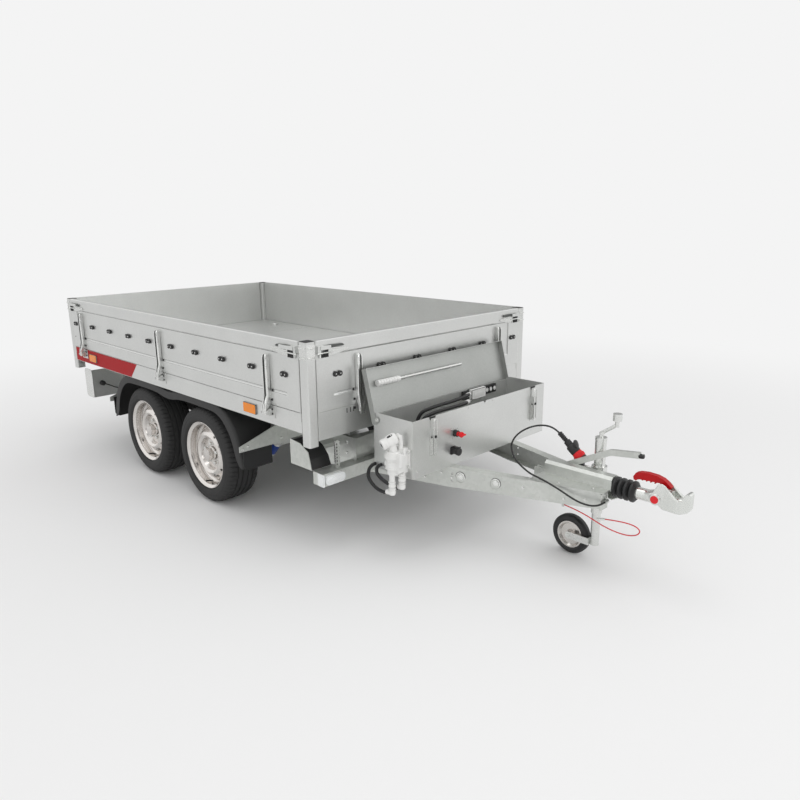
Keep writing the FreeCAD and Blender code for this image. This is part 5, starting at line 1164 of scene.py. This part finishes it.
post_out = 754
post_places = {"front": -26.0, "rear": -2532.0}
cap_half, cap_squareness = 25.2, 0.35
cap_outline = []
for x, y in ring_places(24, 1.0, first_deg=7.5):
    cap_outline.append((cap_half * math.copysign(abs(x) ** cap_squareness, x),
                        cap_half * math.copysign(abs(y) ** cap_squareness, y)))
for end, x in post_places.items():
    for side, sign, _ in SIDES:
        shape = bmesh.new()
        prism(shape, cap_outline, 0, 1.8, Matrix.Translation(spot(x, sign * post_out, 985.1)) @ MM)
        made = made_object("post_cap_%s_%s" % (end, side), shape, moulded_black, bevel_mm=0.6)
        fitted(made, "bed")


# Drop boards and tailgate: rolled boards of zinc sheet on pressed hinge straps, with black
# net hooks on bright rivets along the sides and front, and black screws. Folded end trims
# close each board to a narrow gap beside its post.
finish_nodes(sheet_zinc, "board_left", "board_right", "tailgate")
board_face = 780.0
side_straps = (-287.0, -1305.0, -2350.0)
front_straps = (-493.0, 535.0)
# Down a strap: height, how far out its middle stands, half its width, height of its edges
strap_stations = [
    (904.5, 6.0, 4.0, 0.6), (903.5, 9.5, 8.5, 2.4), (898.0, 12.3, 12.5, 4.4), (889.0, 12.4, 14.4, 6.0),
    (870.0, 12.4, 14.8, 6.4), (760.0, 12.4, 14.8, 6.4), (716.0, 12.6, 15.0, 5.6), (690.0, 21.2, 15.2, 3.2),
    (666.0, 29.4, 15.8, 1.9), (648.0, 30.6, 16.0, 0.9), (630.0, 30.4, 14.0, 0.5)]


def strap_cover(name, origin, outward, body):
    """A thin pressed cover that follows a strap: two raised edges and a sunk middle."""
    shape = bmesh.new()
    place = facing(origin, outward, UP)
    rings = []
    for height, out, half, ridge in strap_stations:
        section = [(-half, -2.0), (-half, 0.55 * ridge), (-0.86 * half, ridge), (-0.52 * half, ridge),
                   (-0.42 * half, 0.1), (0.42 * half, 0.1), (0.52 * half, ridge), (0.86 * half, ridge),
                   (half, 0.55 * ridge), (half, -2.0)]
        rings.append([shape.verts.new(place @ Vector((x, height, out + rise))) for x, rise in section])
    # The two slopes into the sunk middle take the dark dull zinc: painted shade in the channel
    for upper, lower in zip(rings, rings[1:]):
        for k in range(len(upper) - 1):
            side = shape.faces.new([upper[k], upper[k + 1], lower[k + 1], lower[k]])
            side.material_index = 1 if k in (3, 5) else 0
    shape.faces.new(rings[0])
    shape.faces.new(list(reversed(rings[-1])))
    made = made_object(name, shape, strap_zinc, sharp_deg=50.0)
    made.data.materials.append(dull_zinc_groove_shade)
    fitted(made, body)


for x in side_straps:
    for side, sign, outward in SIDES:
        strap_cover("strap_%s_%d" % (side, -x), spot(x, sign * board_face, 0), outward,
                    "board_%s_body" % side)
for y in front_straps:
    strap_cover("strap_front_%d" % abs(y), spot(0, y, 0), OUT_FRONT, "bed")

lobes = (-11.4, 11.4)
shape = bmesh.new()
for x in lobes:
    turned(shape, [(10.4, 0), (10.4, 2.0), (9.4, 3.0), (9.4, 4.4), (10.6, 5.2), (10.6, 8.0), (9.0, 9.6),
                   (3.8, 10.0), (3.0, 8.4), (3.0, 6.0), (0, 6.0)], place=Matrix.Translation((x, 0, 0)))
block(shape, -5, 5, -3.4, 3.4, 0.5, 5.4)
net_hook = pattern_part("net_hook", shape)
shape = bmesh.new()
for x in lobes:
    turned(shape, [(2.9, 6.1), (2.9, 9.4), (2.2, 10.6), (0, 11.0)], steps=14,
           place=Matrix.Translation((x, 0, 0)))
hook_rivets = pattern_part("hook_rivets", shape)

shape = bmesh.new()
turned(shape, [(7.5, 0), (7.5, 1.2), (5.8, 1.2), (5.8, 4.6), (4.6, 5.6), (2.4, 5.6), (2.4, 3.6), (0, 3.6)],
       steps=12)
black_screw = pattern_part("screw", shape)

hook_height = 829.0
hook_pitch = 254.0
side_hooks = [-161.0 - k * hook_pitch for k in range(10)]
recess = 4.0
for side, sign, outward in SIDES:
    body = "board_%s_body" % side
    places = [(spot(x, sign * (board_face - recess), hook_height), outward, UP) for x in side_hooks]
    set_of("net_hooks_" + side, net_hook, places, moulded_black, body, size=1.15)
    set_of("net_hook_rivets_" + side, hook_rivets, places, strap_zinc, body, size=1.15)
    places = [(spot(x + 28, sign * (board_face - recess), 741), outward, UP) for x in side_straps]
    places += [(spot(x + 25, sign * (board_face - 0.5), 697), outward, UP) for x in side_straps]
    places.append((spot(-2478, sign * (board_face - recess), 741), outward, UP))
    set_of("strap_screws_" + side, black_screw, places, moulded_black, body, size=0.85)
    places = [(spot(x + dx, sign * (board_face + 1.5), 640 + dz), outward, UP)
              for x in side_straps for dx in (-25.0, 25.0) for dz in (-9.0, 12.0)]
    set_of("hinge_screws_" + side, black_screw, places, moulded_black, "bed", size=0.7)
places = [(spot(-recess, y, hook_height), OUT_FRONT, UP) for y in (-612, -348, -105, 156, 403, 673)]
set_of("net_hooks_front", net_hook, places, moulded_black, "bed", size=1.15)
set_of("net_hook_rivets_front", hook_rivets, places, strap_zinc, "bed", size=1.15)
places = [(spot(-recess, y - 26, 741), OUT_FRONT, UP) for y in front_straps]
places += [(spot(-0.5, y - 24, z), OUT_FRONT, UP) for y in front_straps for z in (697, 655)]
set_of("strap_screws_front", black_screw, places, moulded_black, "bed", size=0.85)

# Rolled seams in the boards: a fine grey line of painted shade in the seam groove under the top
# rail and two over the ridge, on both sides and on the front

# Seam grey: a flat mid grey that is painted shade in the seam grooves, and the reflector frames' colour
seam_shade_and_frame_grey = smooth_finish("painted_seam_shade_and_frame_grey", "#7b7c7a", 0.6, 1.0, 0.1)
seam_width = 1.3
seam_lines = (917.5, -3.7), (747.0, -3.8), (735.5, 0.1)
for side, sign, outward in SIDES:
    shape = bmesh.new()
    low_x, high_x = sorted((sign * 150, sign * 2406))
    for height, off in seam_lines:
        place = facing(spot(0, sign * (board_face + off), 0), outward, UP)
        block(shape, low_x, high_x, height, height + seam_width, 0, 0.5, place)
    fitted(made_object("board_seams_" + side, shape, seam_shade_and_frame_grey), "board_%s_body" % side)
shape = bmesh.new()
for height, off in seam_lines:
    place = facing(spot(off, 0, 0), OUT_FRONT, UP)
    block(shape, -612, 612, height, height + seam_width, 0, 0.5, place)
fitted(made_object("board_seams_front", shape, seam_shade_and_frame_grey), "bed")

# Three narrow drain slots beside each strap on the front band, as thin black inlays that are painted shade
# inside the slots
shape = bmesh.new()
for y in (-562, -541, -523, 562, 583, 601):
    prism(shape, [(-2.2, 640), (2.2, 640), (2.2, 662), (-2.2, 662)], 0, 0.5,
          facing(spot(-2, y, 0), OUT_FRONT, UP))
fitted(made_object("front_band_slots", shape, moulded_black), "bed")

board_low, board_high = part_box("board_right")
front_low, front_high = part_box("front_board")
trim_low, trim_high = board_low.z * 1000 + 1, board_high.z * 1000 - 1
for side, sign, outward in SIDES:
    body = "board_%s_body" % side
    shape = bmesh.new()
    for edge, away in ((board_high.x, 1), (board_low.x, -1)):
        end = (edge - bed_front) * 1000
        a, b = sorted((end - away * 0.5, end + away * 4.2))
        corner_a, corner_b = spot(a, sign * post_out, trim_low), spot(b, sign * 779.6, trim_high)
        low_y, high_y = sorted((corner_a.y, corner_b.y))
        block(shape, corner_a.x, corner_b.x, low_y, high_y, corner_a.z, corner_b.z)
    fitted(made_object("end_trims_" + side, shape, sheet_zinc), body)
    shape = bmesh.new()
    end = front_high.y * 1000
    corner_a = spot(-27, end - 0.5, front_low.z * 1000 + 1)
    corner_b = spot(-0.4, end + 4.2, front_high.z * 1000 - 1)
    low_y, high_y = sorted((sign * corner_a.y, sign * corner_b.y))
    block(shape, corner_a.x, corner_b.x, low_y, high_y, corner_a.z, corner_b.z)
    fitted(made_object("front_end_trim_" + side, shape, sheet_zinc), "bed")


# Corner latches: a clasp bent round each post, and on each board end an over-centre lever
# in a long cover with a round tension rod to the clasp. All are zinc plated, with a black
# ribbed spring on a flat black plate that is painted shade in the gap, and a dull hook plate.
def latch(name, origin, outward, towards, body, reach):
    """The lever side of a latch; towards is +1 where the post lies on the local right."""
    place = facing(origin, outward, UP) @ Matrix.Scale(towards, 4, Vector((1, 0, 0)))
    shape = bmesh.new()
    cover = [(-60, 914), (-60, 946), (-88, 950), (-reach + 24, 944), (-reach + 4, 939), (-reach, 934),
             (-reach + 16, 928), (-112, 917)]
    prism(shape, cover, 0.8, 4.6, place)
    prism(shape, [(-64, 922), (-64, 940), (-92, 943), (-reach + 30, 937), (-reach + 30, 934), (-112, 924)],
          4.6, 7.4, place)
    bent_rod(shape, [(-78, 932, 9), (-34, 932, 10), (3, 931, 9)], 3.6, place=place)
    block(shape, -17, -10, 912, 951, 1, 9, place)
    block(shape, -64, -59, 912, 951, 1, 8, place)
    fitted(made_object(name, shape, plated_zinc, bevel_mm=0.6), body)
    shape = bmesh.new()
    prism(shape, [(-62, 951), (-142, 951), (-148, 955), (-138, 961), (-70, 963.5)], 1, 9, place)
    block(shape, -48, -40, 926, 938, 1.2, 8.5, place)
    fitted(made_object(name + "_hook_plate", shape, dull_zinc_groove_shade, bevel_mm=0.5), body)
    shape = bmesh.new()
    # A flat black plate behind the ribs: painted shade in the gap between the cover and the post
    block(shape, -58, -18, 914, 949, 0.4, 2.0, place)
    for rib in (-56, -48, -40, -32, -24):
        block(shape, rib, rib + 4.6, 912.5, 950.5, 1.0, 11.4, place)
    fitted(made_object(name + "_spring", shape, moulded_black, bevel_mm=0.5), body)


def clasp(name, x, sign, facing_x):
    """A bent plate round the outer corner of a post, with lips that the rods pull on."""
    shape = bmesh.new()
    out, thick = 27.2, 3.0
    corner = [(-24, 0), (out - 10, 0), (out - 3, 3), (out, 10), (out, 24 + out)]
    inner = [(px - thick if k > 2 else px, py + thick if k < 3 else py) for k, (px, py) in enumerate(corner)]
    outline = corner + list(reversed(inner))
    mirrored = Matrix.Diagonal((facing_x, -sign, 1, 1))
    place = Matrix.Translation(spot(x, sign * post_out, 0)) @ mirrored @ MM
    outline = [(px, py - out) for px, py in outline]
    prism(shape, outline, 908, 972, place)
    for height in (918, 958):
        bent_rod(shape, [(-20, -out - 2.5, height), (out - 8, -out - 2.5, height)], 3.2, steps=8, place=place)
        bent_rod(shape, [(out + 2.5, -out + 8, height), (out + 2.5, 20, height)], 3.2, steps=8, place=place)
    fitted(made_object(name, shape, plated_zinc, bevel_mm=0.8), "bed")


latch_face = board_face + 0.5
for side, sign, outward in SIDES:
    body = "board_%s_body" % side
    latch("latch_front_" + side, spot(-58, sign * latch_face, 0), outward, -sign, body, 202)
    latch("latch_rear_" + side, spot(-2500, sign * latch_face, 0), outward, sign, body, 202)
    latch("latch_front_board_" + side, spot(0.5, sign * 724, 0), OUT_FRONT, sign, "bed", 174)
    clasp("clasp_front_" + side, post_places["front"], sign, 1)
    clasp("clasp_rear_" + side, post_places["rear"], sign, -1)


# Side band: a strip of red film with a slanted end on the rear half of both sides, and amber
# reflectors, each in a thin grey frame that is pressed on the band.
finish_nodes(amber_lens, "side_reflectors")
# Red film: a deep red, flat and even, with little shine
red_film = smooth_finish("red_vinyl_film", "#a6000c", 0.55, 1.5, 0.04, specular=0.25)
side_band_face = 778
band_corners = [(-2504, 582), (-1699, 582), (-1613, 669), (-2504, 669)]
for side, sign, outward in SIDES:
    shape = bmesh.new()
    place = facing(spot(0, sign * side_band_face, 0), outward, UP)
    prism(shape, [(x * -sign, z) for x, z in band_corners], 0.15, 0.45, place)
    fitted(made_object("red_band_" + side, shape, red_film), "bed")

reflector_low, reflector_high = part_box("side_reflectors")
middle = (reflector_low.z + reflector_high.z) * 500
for side, sign, outward in SIDES:
    shape = bmesh.new()
    for x in (-446.0, -2229.0):
        place = facing(spot(x, sign * side_band_face, 0), outward, UP)
        for edge in (middle - 23.4, middle + 21.6):
            block(shape, -51, 51, edge, edge + 1.8, 0.2, 6.5, place)
        for edge in (-51, 49):
            block(shape, edge, edge + 2, middle - 23.4, middle + 23.4, 0.2, 6.5, place)
    fitted(made_object("reflector_frames_" + side, shape, seam_shade_and_frame_grey), "bed")


# The parts that were copied go
for pattern in patterns:
    bpy.data.objects.remove(pattern)
